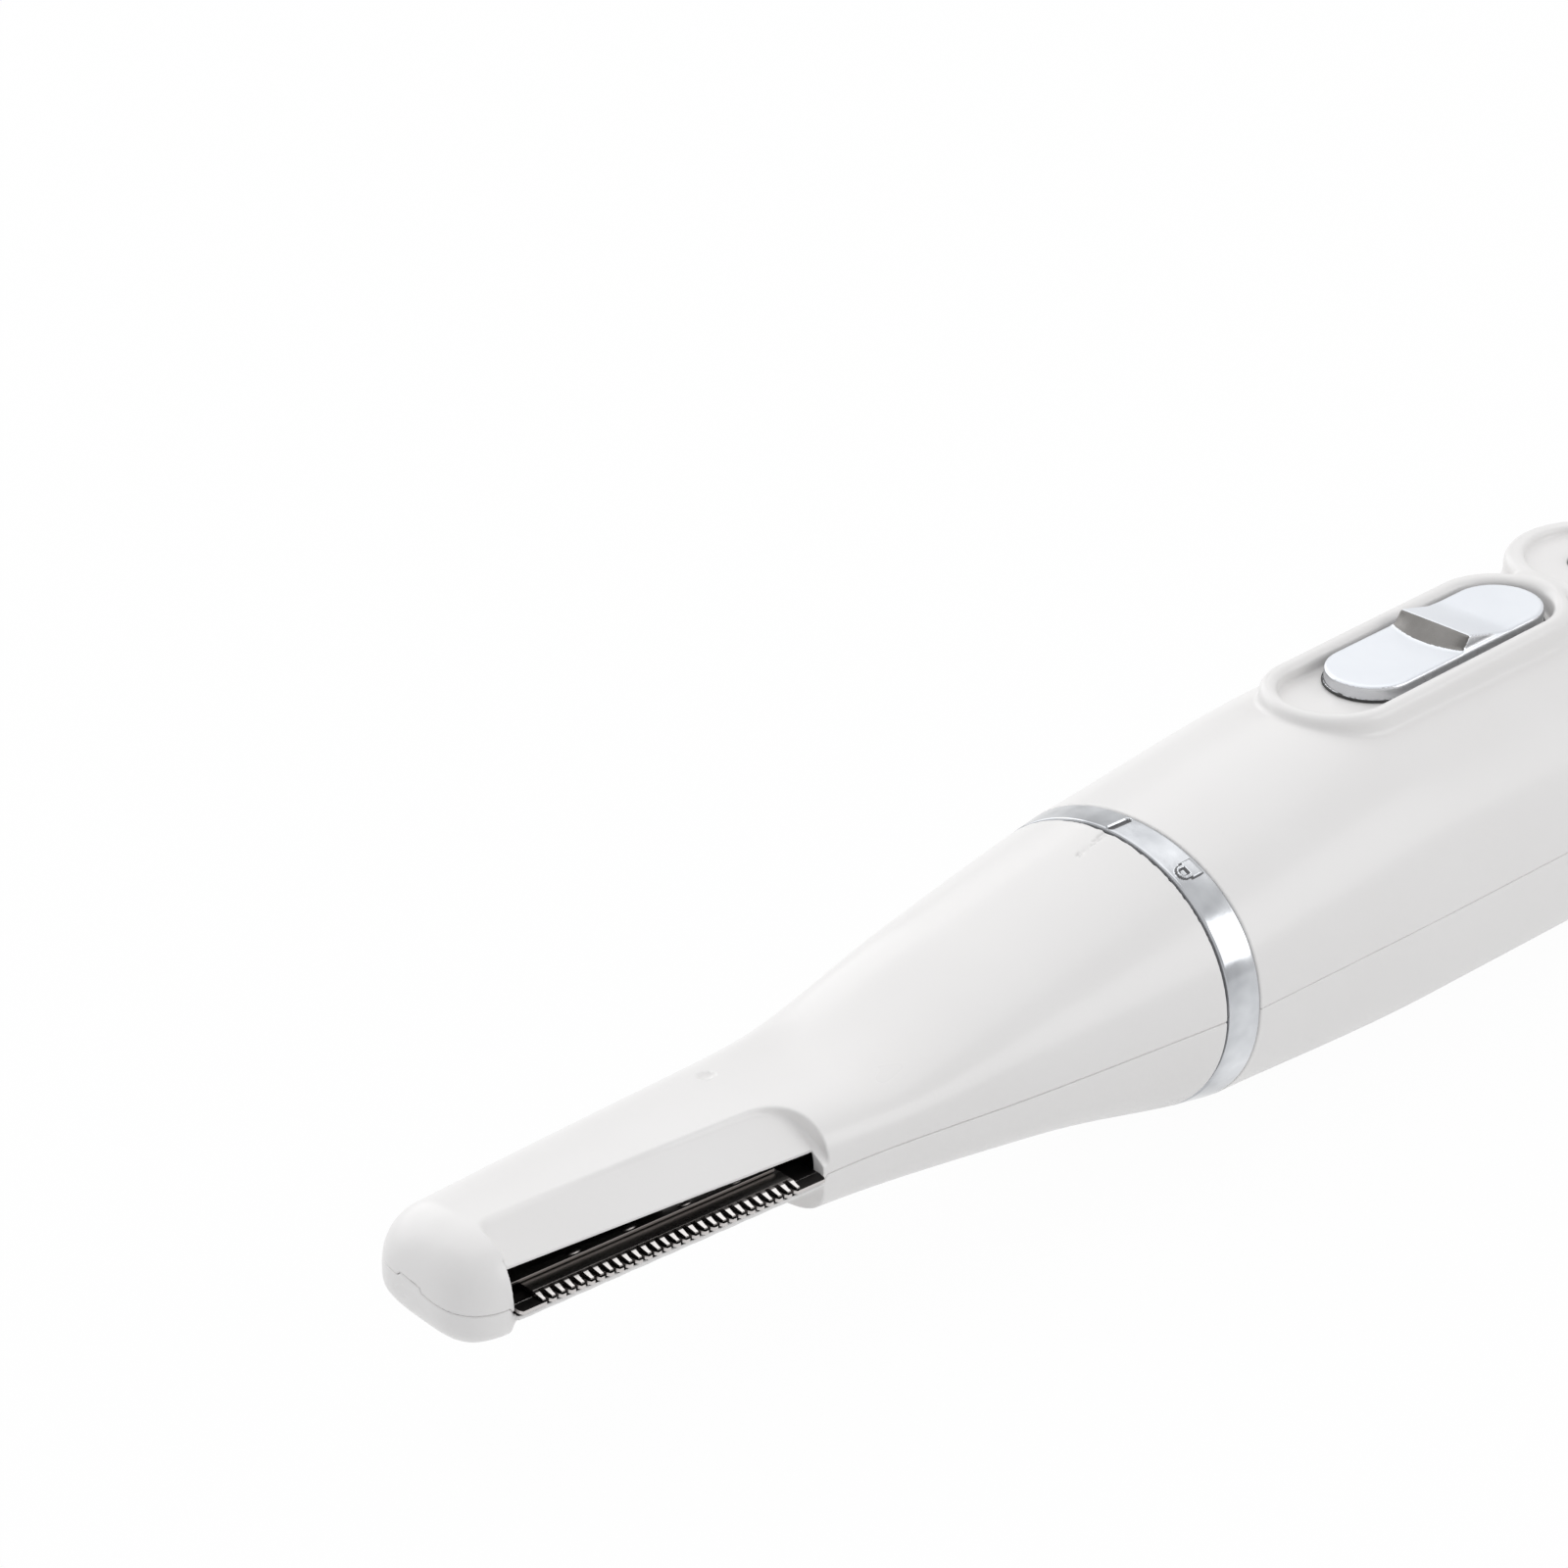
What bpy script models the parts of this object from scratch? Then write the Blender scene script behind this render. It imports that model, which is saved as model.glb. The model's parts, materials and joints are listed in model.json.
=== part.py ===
"""A cordless eyebrow trimmer, lying on its belly with the slide switch up.

Units are metres. X runs along the drive axis, from the cutting head to the tail, Z is up, and the blade
cuts towards -Y. Sizes are measured from the seam between head and ring, where X is 0 and the drive axis is
at Z 0. The empty trimmer_frame then moves the whole part, so that its origin lies under its middle.
"""

import math
from collections import namedtuple

import bmesh
import bpy
from mathutils import Matrix, Vector

# Clearances
SEAT_GAP = 0.0003  # between two pieces that touch on the real product
RUNNING_GAP = 0.0001  # round a piece that slides or turns
SHEET_GAP = 0.00005  # between the stacked steel blades
PARTING_GAP = 0.0002  # between the two halves of a casing

# Drive: an eccentric pin on the motor shaft swings a forked lever, which pushes the blade to and fro
ECCENTRIC_OFFSET = 0.0012
ECCENTRIC_PIN_RADIUS = 0.0006
ECCENTRIC_PIN_LENGTH = 0.0066
SHAFT_RADIUS = 0.0010
HUB_RADIUS = 0.0032
HUB_LENGTH = 0.0044
HUB_START = 0.0018
HUB_SOCKET_DEPTH = 0.0036
FORK_TINE_THICKNESS = 0.0010
FORK_DROP = 0.0017
FORK_LENGTH = 0.0064
FORK_BRIDGE = 0.0012
FORK_TO_HUB = 0.0010
LEVER_THICKNESS = 0.0008
LEVER_ARM_WIDTH = 0.0022
LEVER_BOSS_RADIUS = 0.0015
LEVER_END_RADIUS = 0.0011
LEVER_PIVOT_SIDE = 0.0032
LEVER_PIVOT_BEHIND = 0.0037  # window's end at the neck to the pivot
LEVER_PEG_ARM = 0.0066  # pivot to peg
LEVER_PEG_RADIUS = 0.0006
PIVOT_PIN_RADIUS = 0.0008

# Blades, placed along a line that leans outwards from the tip to the neck
BLADE_LEAN = math.radians(4.4)
WINDOW_FROM_TIP = 0.0028
WINDOW_LENGTH = 0.0258
TOOTH_LINE_SIDE = 0.0056  # drive axis to the tooth tips, at the tip's end of the window
TOOTH_COUNT = 28
TIP_BLOCK = 0.0013  # window's end at the tip to the first gap between teeth
NECK_BLOCK = 0.00238  # last gap to the window's end at the neck
TOOTH_DEPTH = 0.0011
TOOTH_WIDTH = 0.00040
TOOTH_TIP_WIDTH = 0.00028
COMB_OVERHANG = 0.00015  # comb teeth reach past the moving ones
COMB_THICKNESS = 0.00030
MOVING_BLADE_THICKNESS = 0.00030
MOVING_END_BLOCK = 0.0009
BLADE_WIDTH = 0.0040
COMB_WIDTH = 0.0072
COMB_SCREW_RADIUS = 0.0006
COMB_SCREW_HEAD_RADIUS = 0.0011
COMB_SCREW_LENGTH = 0.0013
COMB_SCREW_HEAD_HEIGHT = 0.0005
COMB_SCREW_INSET = 0.0059  # tooth line to screw centre
COMB_SCREW_END = 0.0014  # window's end to screw centre
CARRIER_HEIGHT = 0.00060
CARRIER_BAR_WIDTH = 0.0009
CARRIER_BAR_LENGTH = 0.0100
CARRIER_END_LENGTH = 0.0040
CARRIER_END_OVERREACH = 0.0012  # past the peg, inwards
SPRING_INSET = 0.0020  # tooth line to the flat spring that holds the blade down
SPRING_WIDTH = 0.0010
SPRING_THICKNESS = 0.0003
SPRING_TAB = 0.0026

# Head casing: distances ahead of the seam, and half sizes of its sections
HEAD_LENGTH = 0.0638
PADDLE_ROOT_DISTANCE = 0.037
NECK_DISTANCE = 0.030
CONE_MIDDLE_DISTANCE = 0.014
TIP_HALF_WIDTH = 0.0059
TIP_TOP = 0.0056
TIP_BOTTOM = 0.0022
TIP_CORNER_RADIUS = 0.0030
TIP_TOP_RADIUS = 0.0026
TIP_BOTTOM_RADIUS = 0.0017
PADDLE_ROOT_HALF_WIDTH = 0.00715
PADDLE_ROOT_TOP = 0.00435
PADDLE_ROOT_BOTTOM = 0.00345
NECK_HALF_WIDTH = 0.0077
NECK_TOP = 0.00415
NECK_BOTTOM = 0.0041
CONE_MIDDLE_HALF_WIDTH = 0.0101
CONE_MIDDLE_TOP = 0.0075
CONE_MIDDLE_BOTTOM = 0.0068
PADDLE_SQUARENESS = 3.0
NECK_SQUARENESS = 2.7
CONE_SQUARENESS = 2.2
HEAD_WALL = 0.0011
HEAD_SCREW_DISTANCE = 0.0165
HEAD_SCREW_SIDE = 0.0056

# Slanted facet in the paddle's top, down to the blade window, in the blade line's own directions
FACET_EDGE_INSET = 0.0016  # tooth line to the lip of the window
FACET_MARGIN = 0.00015  # longer than the window by this at either end
FACET_DEPTH = 0.00335  # lip to the facet's inner edge, less the margin
FACET_LIP_HEIGHT = 0.00285
FACET_RISE = 0.56
FACET_FALL = 0.032
FACET_WALL = 0.0008
FACET_CORNER = 0.0012
FACET_END_CHAMFER = 0.0030

# Bayonet between head and handle
SLEEVE_CLEARANCE = 0.0005
SLEEVE_WALL = 0.0010
SLEEVE_REACH = 0.0059
SLEEVE_FLANGE_THICKNESS = 0.0012
SLEEVE_FLANGE_RECESS = 0.0009
LUG_HEIGHT = 0.0009
LUG_LENGTH = 0.0013
LUG_WIDTH = 0.0024
LUG_COUNT = 3
SOCKET_WALL = 0.00055
SOCKET_REAR_LIP = 0.0010
TWIST_TO_UNLOCK = math.radians(30)
RING_WIDTH = 0.0023
RING_TAPER = 0.0004
RING_STEP = 0.0001

# Motor, a flat sided can
MOTOR_RADIUS = 0.01005
MOTOR_FLAT = 0.00755
MOTOR_LENGTH = 0.0250
MOTOR_CAN_WALL = 0.0006
MOTOR_SIDE_ROOM = 0.00105
END_CAP_THICKNESS = 0.0020
BUSH_RADIUS = 0.0030
BUSH_LENGTH = 0.0024
MAGNET_THICKNESS = 0.0018
MAGNET_HALF_ANGLE = math.radians(38)
MAGNET_LENGTH = 0.0150
CORE_RADIUS = 0.0069
CORE_LENGTH = 0.0140
CORE_SLOTS = 3
CORE_SLOT_WIDTH = 0.0016
CORE_SLOT_DEPTH = 0.0043
WINDING_RADIUS = 0.0056
WINDING_LENGTH = 0.0021
COMMUTATOR_RADIUS = 0.0026
COMMUTATOR_LENGTH = 0.0028
BRUSH_THICKNESS = 0.0003
BRUSH_HEIGHT = 0.0020
TERMINAL_LENGTH = 0.0012
TERMINAL_WIDTH = 0.0018
TERMINAL_THICKNESS = 0.0004
TERMINAL_SIDE = 0.0070

# Battery and the frame that holds it and the motor
CELL_RADIUS = 0.0071
CELL_LENGTH = 0.0500
CELL_NUB_RADIUS = 0.00275
CELL_NUB_LENGTH = 0.0011
CONTACT_THICKNESS = 0.0003
CONTACT_HALF_WIDTH = 0.0030
CONTACT_TAB = 0.0013  # rear contact's reach above the cell
FRAME_BULKHEAD = 0.0010
FRAME_FLOOR_THICKNESS = 0.0009
FRAME_FLOOR_HALF_WIDTH = 0.0045
FRAME_HALF_WIDTH = 0.0060
SADDLE_THICKNESS = 0.0012

# Circuit board and slide switch, stacked above the motor
BOARD_THICKNESS = 0.0008
BOARD_HALF_WIDTH = 0.0058
BOARD_START = 0.0250
BOARD_LENGTH = 0.0400
BOARD_ROOM = 0.00065  # motor to board
SWITCH_CASE_HEIGHT = 0.0013
SWITCH_CASE_HALF_WIDTH = 0.0019
SWITCH_CASE_WALL = 0.0004
KNOB_LENGTH = 0.0020
KNOB_HALF_WIDTH = 0.0007
KNOB_START = 0.0370
CARRIAGE_THICKNESS = 0.0005
CARRIAGE_HALF_WIDTH = 0.0022
CARRIAGE_MARGIN = 0.0018  # past the stem and the knob
CARRIAGE_ROOM = 0.0005  # switch case to carriage
CHIP_LENGTH = 0.0050
CHIP_HALF_WIDTH = 0.0020
CHIP_HEIGHT = 0.0014
CHIP_START = 0.0440
LED_RADIUS = 0.0015
CAPACITOR_RADIUS = 0.0010
CAPACITOR_LENGTH = 0.0034
CAPACITOR_START = 0.0590
CAPACITOR_SIDE = 0.0020

# Slide button in its recess
SWITCH_TRAVEL = 0.0040
BUTTON_START = 0.0250
BUTTON_LENGTH = 0.0213
BUTTON_HALF_WIDTH = 0.00352
BUTTON_THICKNESS = 0.0013
BUTTON_RISE = 0.0007  # the rear end stands this much higher than the front end
BUTTON_RIB_HEIGHT = 0.0011
BUTTON_RIB_LENGTH = 0.0030
BUTTON_RIB_FRONT = 0.0007  # length of the rib's steep front face
BUTTON_RIB_PLACE = 0.0098  # behind the button's front end
BUTTON_RIB_INSET = 0.0003  # button's edge to the rib's end
STEM_START = 0.0310
STEM_LENGTH = 0.0020
STEM_HALF_WIDTH = 0.0010
RECESS_FLOOR_THICKNESS = 0.0009
RECESS_DEPTH = 0.00105
RECESS_SIDE_ROOM = 0.0005
RECESS_END_ROOM = 0.0007
RIM_WIDTH = 0.0018
BODY_BELOW_RIM = 0.0004

# Round indicator boss behind the switch
BOSS_PLACE = 0.0545
BOSS_RADIUS = 0.0069
BOSS_RIM_WIDTH = 0.0015
BOSS_HEIGHT = 0.0007  # above the switch rim
BOSS_DISH_DEPTH = 0.0007
LENS_RADIUS = 0.0020
LENS_FLANGE = 0.0008
LENS_FLANGE_THICKNESS = 0.0006

# Handle casing
HANDLE_WALL = 0.0013
HANDLE_FLARE = 0.00035
HANDLE_BOTTOM = 0.01235
HANDLE_FRONT_BOTTOM = 0.0110
SWITCH_STATION = 0.0260
REAR_STATION = 0.0600
TAIL_DISTANCE = 0.0080  # tail end to where it closes in
TAIL_TAPER = 0.0010
TAIL_DRAW_IN = 0.0010
TAIL_ROUNDING = 0.0042
HANDLE_SQUARENESS = 2.1
BELLY_CUT = 0.0006
HANDLE_SCREW_PLACE = 0.0660
FRAME_RIB_THICKNESS = 0.0010

# Screws of the casings
SCREW_RADIUS = 0.0007
SCREW_HEAD_RADIUS = 0.0013
SCREW_HEAD_HEIGHT = 0.0011
SCREW_SLOT_LENGTH = 0.0018
SCREW_SLOT_WIDTH = 0.0005
SCREW_SLOT_DEPTH = 0.0005
SCREW_SINK = 0.0004
BOSS_WALL = 0.0006

# Charging socket in the tail
JACK_RADIUS = 0.00175
JACK_HALF_WIDTH = 0.0032
JACK_LENGTH = 0.0062
JACK_PIN_RADIUS = 0.0005
JACK_PIN_SINK = 0.0008  # behind the socket's mouth
JACK_BACK = 0.0012

# Leads
LEAD_RADIUS = 0.00045
LEAD_STEP = 0.0010  # from where a lead is joined on to its first bend
LEAD_BEND = 0.0030  # from there to where it runs straight
LEAD_LIFT = 0.0003  # over the cell, just ahead of the bend down to the board
MOTOR_LEAD_SIDE = 0.0050  # at the board
CHARGING_LEAD_SIDE = 0.0040
CHARGING_LEAD_START_SIDE = 0.0022  # at the socket

# Worked out: places that follow the blade window
WINDOW_END_DISTANCE = HEAD_LENGTH - WINDOW_FROM_TIP - WINDOW_LENGTH  # ahead of the seam
LEVER_PIVOT_DISTANCE = WINDOW_END_DISTANCE - LEVER_PIVOT_BEHIND
TOOTH_PITCH = (WINDOW_LENGTH - TIP_BLOCK - NECK_BLOCK) / TOOTH_COUNT

# Worked out: blade stack, upwards from the parting plane
COMB_LOW = PARTING_GAP / 2 + SHEET_GAP
COMB_TOP = COMB_LOW + COMB_THICKNESS
MOVING_LOW = COMB_TOP + SHEET_GAP
MOVING_TOP = MOVING_LOW + MOVING_BLADE_THICKNESS
CARRIER_LOW = MOVING_TOP + SHEET_GAP
CARRIER_TOP = CARRIER_LOW + CARRIER_HEIGHT
LEVER_LOW = CARRIER_TOP + RUNNING_GAP
LEVER_TOP = LEVER_LOW + LEVER_THICKNESS
LEVER_LENGTH = LEVER_PIVOT_DISTANCE + HUB_START - ECCENTRIC_PIN_LENGTH / 2
SWING = math.asin(ECCENTRIC_OFFSET / LEVER_LENGTH)
STROKE = LEVER_PEG_ARM * math.tan(SWING)

# Worked out: radii from the eccentric outwards to the handle
FORK_SLOT_HALF = 2 * ECCENTRIC_OFFSET + ECCENTRIC_PIN_RADIUS + RUNNING_GAP
FORK_HALF_WIDTH = FORK_SLOT_HALF + FORK_TINE_THICKNESS
FORK_REACH = math.hypot(FORK_HALF_WIDTH + ECCENTRIC_OFFSET, max(LEVER_TOP, FORK_DROP))
SLEEVE_BORE = FORK_REACH + SLEEVE_CLEARANCE
SLEEVE_RADIUS = SLEEVE_BORE + SLEEVE_WALL
RING_BORE = SLEEVE_RADIUS + SEAT_GAP
LUG_RADIUS = SLEEVE_RADIUS + LUG_HEIGHT
GROOVE_RADIUS = LUG_RADIUS + SEAT_GAP
SOCKET_RADIUS = GROOVE_RADIUS + SOCKET_WALL
HANDLE_FRONT_TOP = SOCKET_RADIUS + SEAT_GAP + HANDLE_WALL
HANDLE_FRONT_HALF_WIDTH = MOTOR_RADIUS + MOTOR_SIDE_ROOM + HANDLE_WALL
RING_HALF_WIDTH = HANDLE_FRONT_HALF_WIDTH - RING_TAPER
RING_HALF_HEIGHT = HANDLE_FRONT_TOP + RING_STEP

# Worked out: places along the drive axis
RING_START = SEAT_GAP / 2
RING_END = RING_START + RING_WIDTH
HANDLE_START = RING_END + SEAT_GAP
LUG_START = SLEEVE_REACH - LUG_LENGTH
GROOVE_START = LUG_START - SEAT_GAP
GROOVE_END = SLEEVE_REACH + SEAT_GAP
SOCKET_END = GROOVE_END + SOCKET_REAR_LIP
FRAME_START = SOCKET_END + SEAT_GAP
MOTOR_START = FRAME_START + FRAME_BULKHEAD + SEAT_GAP
MOTOR_END = MOTOR_START + MOTOR_LENGTH
END_CAP_END = MOTOR_END + SEAT_GAP + END_CAP_THICKNESS
MIDDLE_BULKHEAD = END_CAP_END + TERMINAL_LENGTH + SEAT_GAP
FRONT_CONTACT = MIDDLE_BULKHEAD + FRAME_BULKHEAD + SEAT_GAP
CELL_START = FRONT_CONTACT + CONTACT_THICKNESS + SEAT_GAP
CELL_END = CELL_START + CELL_NUB_LENGTH + CELL_LENGTH
REAR_CONTACT = CELL_END + SEAT_GAP
REAR_BULKHEAD = REAR_CONTACT + CONTACT_THICKNESS + SEAT_GAP
JACK_START = REAR_BULKHEAD + FRAME_BULKHEAD + SEAT_GAP
JACK_END = JACK_START + JACK_LENGTH
HANDLE_END = JACK_END + SEAT_GAP + HANDLE_WALL
SADDLE_PLACES = (CELL_START + CELL_LENGTH / 4, CELL_START + 3 * CELL_LENGTH / 4)
FRAME_RIB_PLACES = ((MOTOR_START + MOTOR_END) / 2, *SADDLE_PLACES)

# Worked out: heights above the drive axis at the switch
FRAME_FLOOR_TOP = -(max(MOTOR_FLAT, CELL_RADIUS) + SEAT_GAP)
FRAME_FLOOR_LOW = FRAME_FLOOR_TOP - FRAME_FLOOR_THICKNESS
BOARD_LOW = max(MOTOR_FLAT, CELL_RADIUS) + BOARD_ROOM
BOARD_TOP = BOARD_LOW + BOARD_THICKNESS
SWITCH_CASE_LOW = BOARD_TOP + SHEET_GAP
SWITCH_CASE_TOP = SWITCH_CASE_LOW + SWITCH_CASE_HEIGHT
CARRIAGE_LOW = SWITCH_CASE_TOP + CARRIAGE_ROOM
CARRIAGE_TOP = CARRIAGE_LOW + CARRIAGE_THICKNESS
RECESS_CEILING = CARRIAGE_TOP + RUNNING_GAP
RECESS_FLOOR = RECESS_CEILING + RECESS_FLOOR_THICKNESS
RIM_TOP = RECESS_FLOOR + RECESS_DEPTH
HANDLE_TOP = RIM_TOP - BODY_BELOW_RIM
BOSS_TOP = RIM_TOP + BOSS_HEIGHT
BOSS_FLOOR = BOSS_TOP - BOSS_DISH_DEPTH
LENS_LOW = HANDLE_TOP - HANDLE_WALL - LENS_FLANGE_THICKNESS - 2 * SEAT_GAP
HANDLE_HALF_WIDTH = HANDLE_FRONT_HALF_WIDTH + HANDLE_FLARE
BELLY = -(HANDLE_BOTTOM - BELLY_CUT)
POST_RADIUS = SCREW_HEAD_RADIUS + BOSS_WALL
HANDLE_SCREW_SIDE = CELL_RADIUS + SEAT_GAP + POST_RADIUS
RECESS_HALF_WIDTH = BUTTON_HALF_WIDTH + RECESS_SIDE_ROOM
RECESS_START = BUTTON_START - SWITCH_TRAVEL - RECESS_END_ROOM
RECESS_END = BUTTON_START + BUTTON_LENGTH + RECESS_END_ROOM

# Worked out: the blade line's start, in the drive axis' directions
BLADE_START = Vector((WINDOW_FROM_TIP - HEAD_LENGTH, -TOOTH_LINE_SIDE, 0))

FAR = 0.05  # past the casings, for cutters
CURVE_SCALE = 1000  # a curve's fill loses teeth this small, so it is drawn larger

Section = namedtuple("Section", "half_width top bottom squareness")
ACROSS_X = Matrix.Rotation(math.radians(90), 4, "Y")
UPRIGHT = Matrix.Rotation(math.radians(90), 4, "X")


# Scene

def clear_scene():
    for obj in list(bpy.data.objects):
        bpy.data.objects.remove(obj, do_unlink=True)


def new_collection(name):
    collection = bpy.data.collections.new(name)
    bpy.context.scene.collection.children.link(collection)
    return collection


def new_material(name, color, roughness, metallic=0.0):
    material = bpy.data.materials.new(name)
    material.use_nodes = True
    shader = material.node_tree.nodes["Principled BSDF"]
    shader.inputs["Base Color"].default_value = (*color, 1)
    shader.inputs["Roughness"].default_value = roughness
    shader.inputs["Metallic"].default_value = metallic
    material.diffuse_color = (*color, 1)
    return material


def new_empty(name, place=(0, 0, 0), turn=0.0, parent=None):
    empty = bpy.data.objects.new(name, None)
    empty.empty_display_size = 0.005
    empty.location = place
    empty.rotation_euler = (0, 0, turn)
    empty.parent = parent
    parts.objects.link(empty)
    return empty


clear_scene()
parts = new_collection("eyebrow_trimmer")
cutters = new_collection("cutters")

WHITE = new_material("white_plastic", (0.86, 0.86, 0.85), 0.28)
CHROME = new_material("chrome_trim", (0.80, 0.82, 0.85), 0.10, 1.0)
SILVER = new_material("silver_paint", (0.84, 0.87, 0.92), 0.32, 0.6)
BLADE_STEEL = new_material("blade_steel", (0.58, 0.56, 0.54), 0.25, 1.0)
DARK_STEEL = new_material("dark_steel", (0.16, 0.15, 0.14), 0.35, 1.0)
SPRING_STEEL = new_material("spring_steel", (0.50, 0.50, 0.52), 0.30, 1.0)
ZINC = new_material("zinc_screw", (0.62, 0.62, 0.60), 0.30, 1.0)
CAN_STEEL = new_material("can_steel", (0.60, 0.61, 0.62), 0.35, 1.0)
GREY_NYLON = new_material("grey_nylon", (0.42, 0.42, 0.43), 0.50)
BLACK_NYLON = new_material("black_nylon", (0.03, 0.03, 0.03), 0.45)
FERRITE = new_material("ferrite", (0.10, 0.10, 0.11), 0.65)
LAMINATION = new_material("lamination", (0.35, 0.35, 0.36), 0.45, 1.0)
COPPER = new_material("copper_wire", (0.72, 0.35, 0.18), 0.35, 1.0)
BRONZE = new_material("sintered_bronze", (0.55, 0.40, 0.22), 0.50, 1.0)
CELL_WRAP = new_material("cell_wrap", (0.08, 0.30, 0.16), 0.40)
BOARD_GREEN = new_material("board_green", (0.04, 0.22, 0.10), 0.40)
CHIP_BLACK = new_material("chip_black", (0.02, 0.02, 0.02), 0.50)
CLEAR = new_material("clear_lens", (0.85, 0.88, 0.90), 0.10)
RED_LEAD = new_material("red_lead", (0.60, 0.03, 0.03), 0.50)
BLACK_LEAD = new_material("black_lead", (0.02, 0.02, 0.02), 0.50)

frame = new_empty("trimmer_frame", ((HEAD_LENGTH - HANDLE_END) / 2, 0, -BELLY))
rotor_axis = new_empty("rotor_axis", parent=frame)
switch_axis = new_empty("switch_axis", parent=frame)
head_axis = new_empty("head_axis", parent=frame)
pivot_place = Vector((-LEVER_PIVOT_DISTANCE, LEVER_PIVOT_SIDE, 0))
lever_axis = new_empty("lever_axis", pivot_place, parent=head_axis)
blade_line = new_empty("blade_line", BLADE_START, -BLADE_LEAN, parent=head_axis)
cutter_axis = new_empty("cutter_axis", parent=blade_line)


# Making and cutting

def add_object(name, mesh, material, parent, matrix=Matrix(), helper=False):
    """Links a mesh. The matrix places it in its parent's directions; a helper is only cut with."""
    obj = bpy.data.objects.new(name, mesh)
    obj.parent = parent
    obj.matrix_basis = matrix
    if material:
        obj.data.materials.append(material)
    (cutters if helper else parts).objects.link(obj)
    if helper:
        obj.hide_render = True
        obj.display_type = "WIRE"
    return obj


def mesh_from(name, build, smooth=True):
    """A mesh from a function that fills an empty bmesh."""
    work = bmesh.new()
    build(work)
    bmesh.ops.recalc_face_normals(work, faces=work.faces)
    mesh = bpy.data.meshes.new(name)
    work.to_mesh(mesh)
    work.free()
    if smooth:
        mesh.shade_smooth()
        mesh.set_sharp_from_angle(angle=math.radians(35))
    return mesh


def box(name, low, high, material=None, parent=frame, helper=False):
    low, high = Vector(low), Vector(high)
    size = Matrix.Diagonal((*(high - low), 1))

    def build(work):
        bmesh.ops.create_cube(work, size=1, matrix=size)

    place = Matrix.Translation((low + high) / 2)
    return add_object(name, mesh_from(name, build, False), material, parent, place, helper)


def cylinder(name, radius, start, end, material=None, parent=frame, sides=24, helper=False, tip=None):
    """A round bar between two points, or a cone where a tip radius is given."""
    start, end = Vector(start), Vector(end)
    along = end - start

    def build(work):
        bmesh.ops.create_cone(
            work, cap_ends=True, segments=sides, radius1=radius,
            radius2=radius if tip is None else tip, depth=along.length,
        )

    turn = along.to_track_quat("Z", "Y").to_matrix().to_4x4()
    place = Matrix.Translation((start + end) / 2) @ turn
    return add_object(name, mesh_from(name, build), material, parent, place, helper)


def turned(name, profile, material, parent=frame, steps=32, helper=False):
    """A piece turned about the drive axis, from (radius, x) points round its section."""
    area = sum(a[0] * b[1] - b[0] * a[1] for a, b in zip(profile, profile[1:] + profile[:1]))
    points = profile[::-1] if area > 0 else profile
    mesh = bpy.data.meshes.new(name)
    count = len(points)
    edges = [(i, (i + 1) % count) for i in range(count)]
    mesh.from_pydata([(radius, 0, x) for radius, x in points], edges, [])
    obj = add_object(name, mesh, material, parent, ACROSS_X, helper)
    screw = obj.modifiers.new("turn", "SCREW")
    screw.axis = "Z"
    screw.steps = screw.render_steps = steps
    screw.use_merge_vertices = True
    screw.merge_threshold = 1e-6
    screw.use_smooth_shade = False
    return obj


def as_mesh(obj, scale=1.0):
    """The object with its modifiers and curve made into one plain mesh, under the same name."""
    bpy.context.view_layer.update()
    evaluated = obj.evaluated_get(bpy.context.evaluated_depsgraph_get())
    mesh = bpy.data.meshes.new_from_object(evaluated)
    work = bmesh.new()
    work.from_mesh(mesh)
    bmesh.ops.scale(work, vec=(scale,) * 3, verts=work.verts)
    bmesh.ops.remove_doubles(work, verts=work.verts, dist=1e-7)
    bmesh.ops.recalc_face_normals(work, faces=work.faces)
    work.to_mesh(mesh)
    work.free()
    name, parent, matrix = obj.name, obj.parent, obj.matrix_basis.copy()
    helper = obj.hide_render
    bpy.data.objects.remove(obj)
    mesh.name = name
    return add_object(name, mesh, None, parent, matrix, helper)


def plate(name, outline, low, high, material=None, parent=frame, matrix=Matrix(), helper=False, holes=()):
    """A flat outline of (x, y) points, filled round its holes and given a thickness from low to high."""
    curve = bpy.data.curves.new(name, "CURVE")
    curve.dimensions = "2D"
    curve.fill_mode = "BOTH"
    curve.extrude = CURVE_SCALE * (high - low) / 2
    for loop in (outline, *holes):
        spline = curve.splines.new("POLY")
        spline.points.add(len(loop) - 1)
        for point, (x, y) in zip(spline.points, loop):
            point.co = (CURVE_SCALE * x, CURVE_SCALE * y, 0, 1)
        spline.use_cyclic_u = True
    place = matrix @ Matrix.Translation((0, 0, (low + high) / 2))
    return as_mesh(add_object(name, curve, material, parent, place, helper), 1 / CURVE_SCALE)


def cross_plate(name, outline, start, end, material=None, parent=frame, helper=False):
    """A plate square to the drive axis, from an outline of (y, z) points."""
    turn = Matrix(((0, 0, 1, 0), (1, 0, 0, 0), (0, 1, 0, 0), (0, 0, 0, 1)))
    return plate(name, outline, start, end, material, parent, turn, helper)


def wire(name, points, radius, material, parent=frame):
    curve = bpy.data.curves.new(name, "CURVE")
    curve.dimensions = "3D"
    curve.bevel_depth = radius
    curve.bevel_resolution = 1
    curve.use_fill_caps = True
    spline = curve.splines.new("POLY")
    spline.points.add(len(points) - 1)
    for point, place in zip(spline.points, points):
        point.co = (*place, 1)
    return add_object(name, curve, material, parent)


def combine(obj, other, operation):
    modifier = obj.modifiers.new(other.name, "BOOLEAN")
    modifier.operation = operation
    modifier.object = other
    modifier.solver = "EXACT"
    return obj


def cut(obj, *others):
    for other in others:
        combine(obj, other, "DIFFERENCE")
    return obj


def join(obj, *others):
    for other in others:
        combine(obj, other, "UNION")
    return obj


# Outlines

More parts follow.
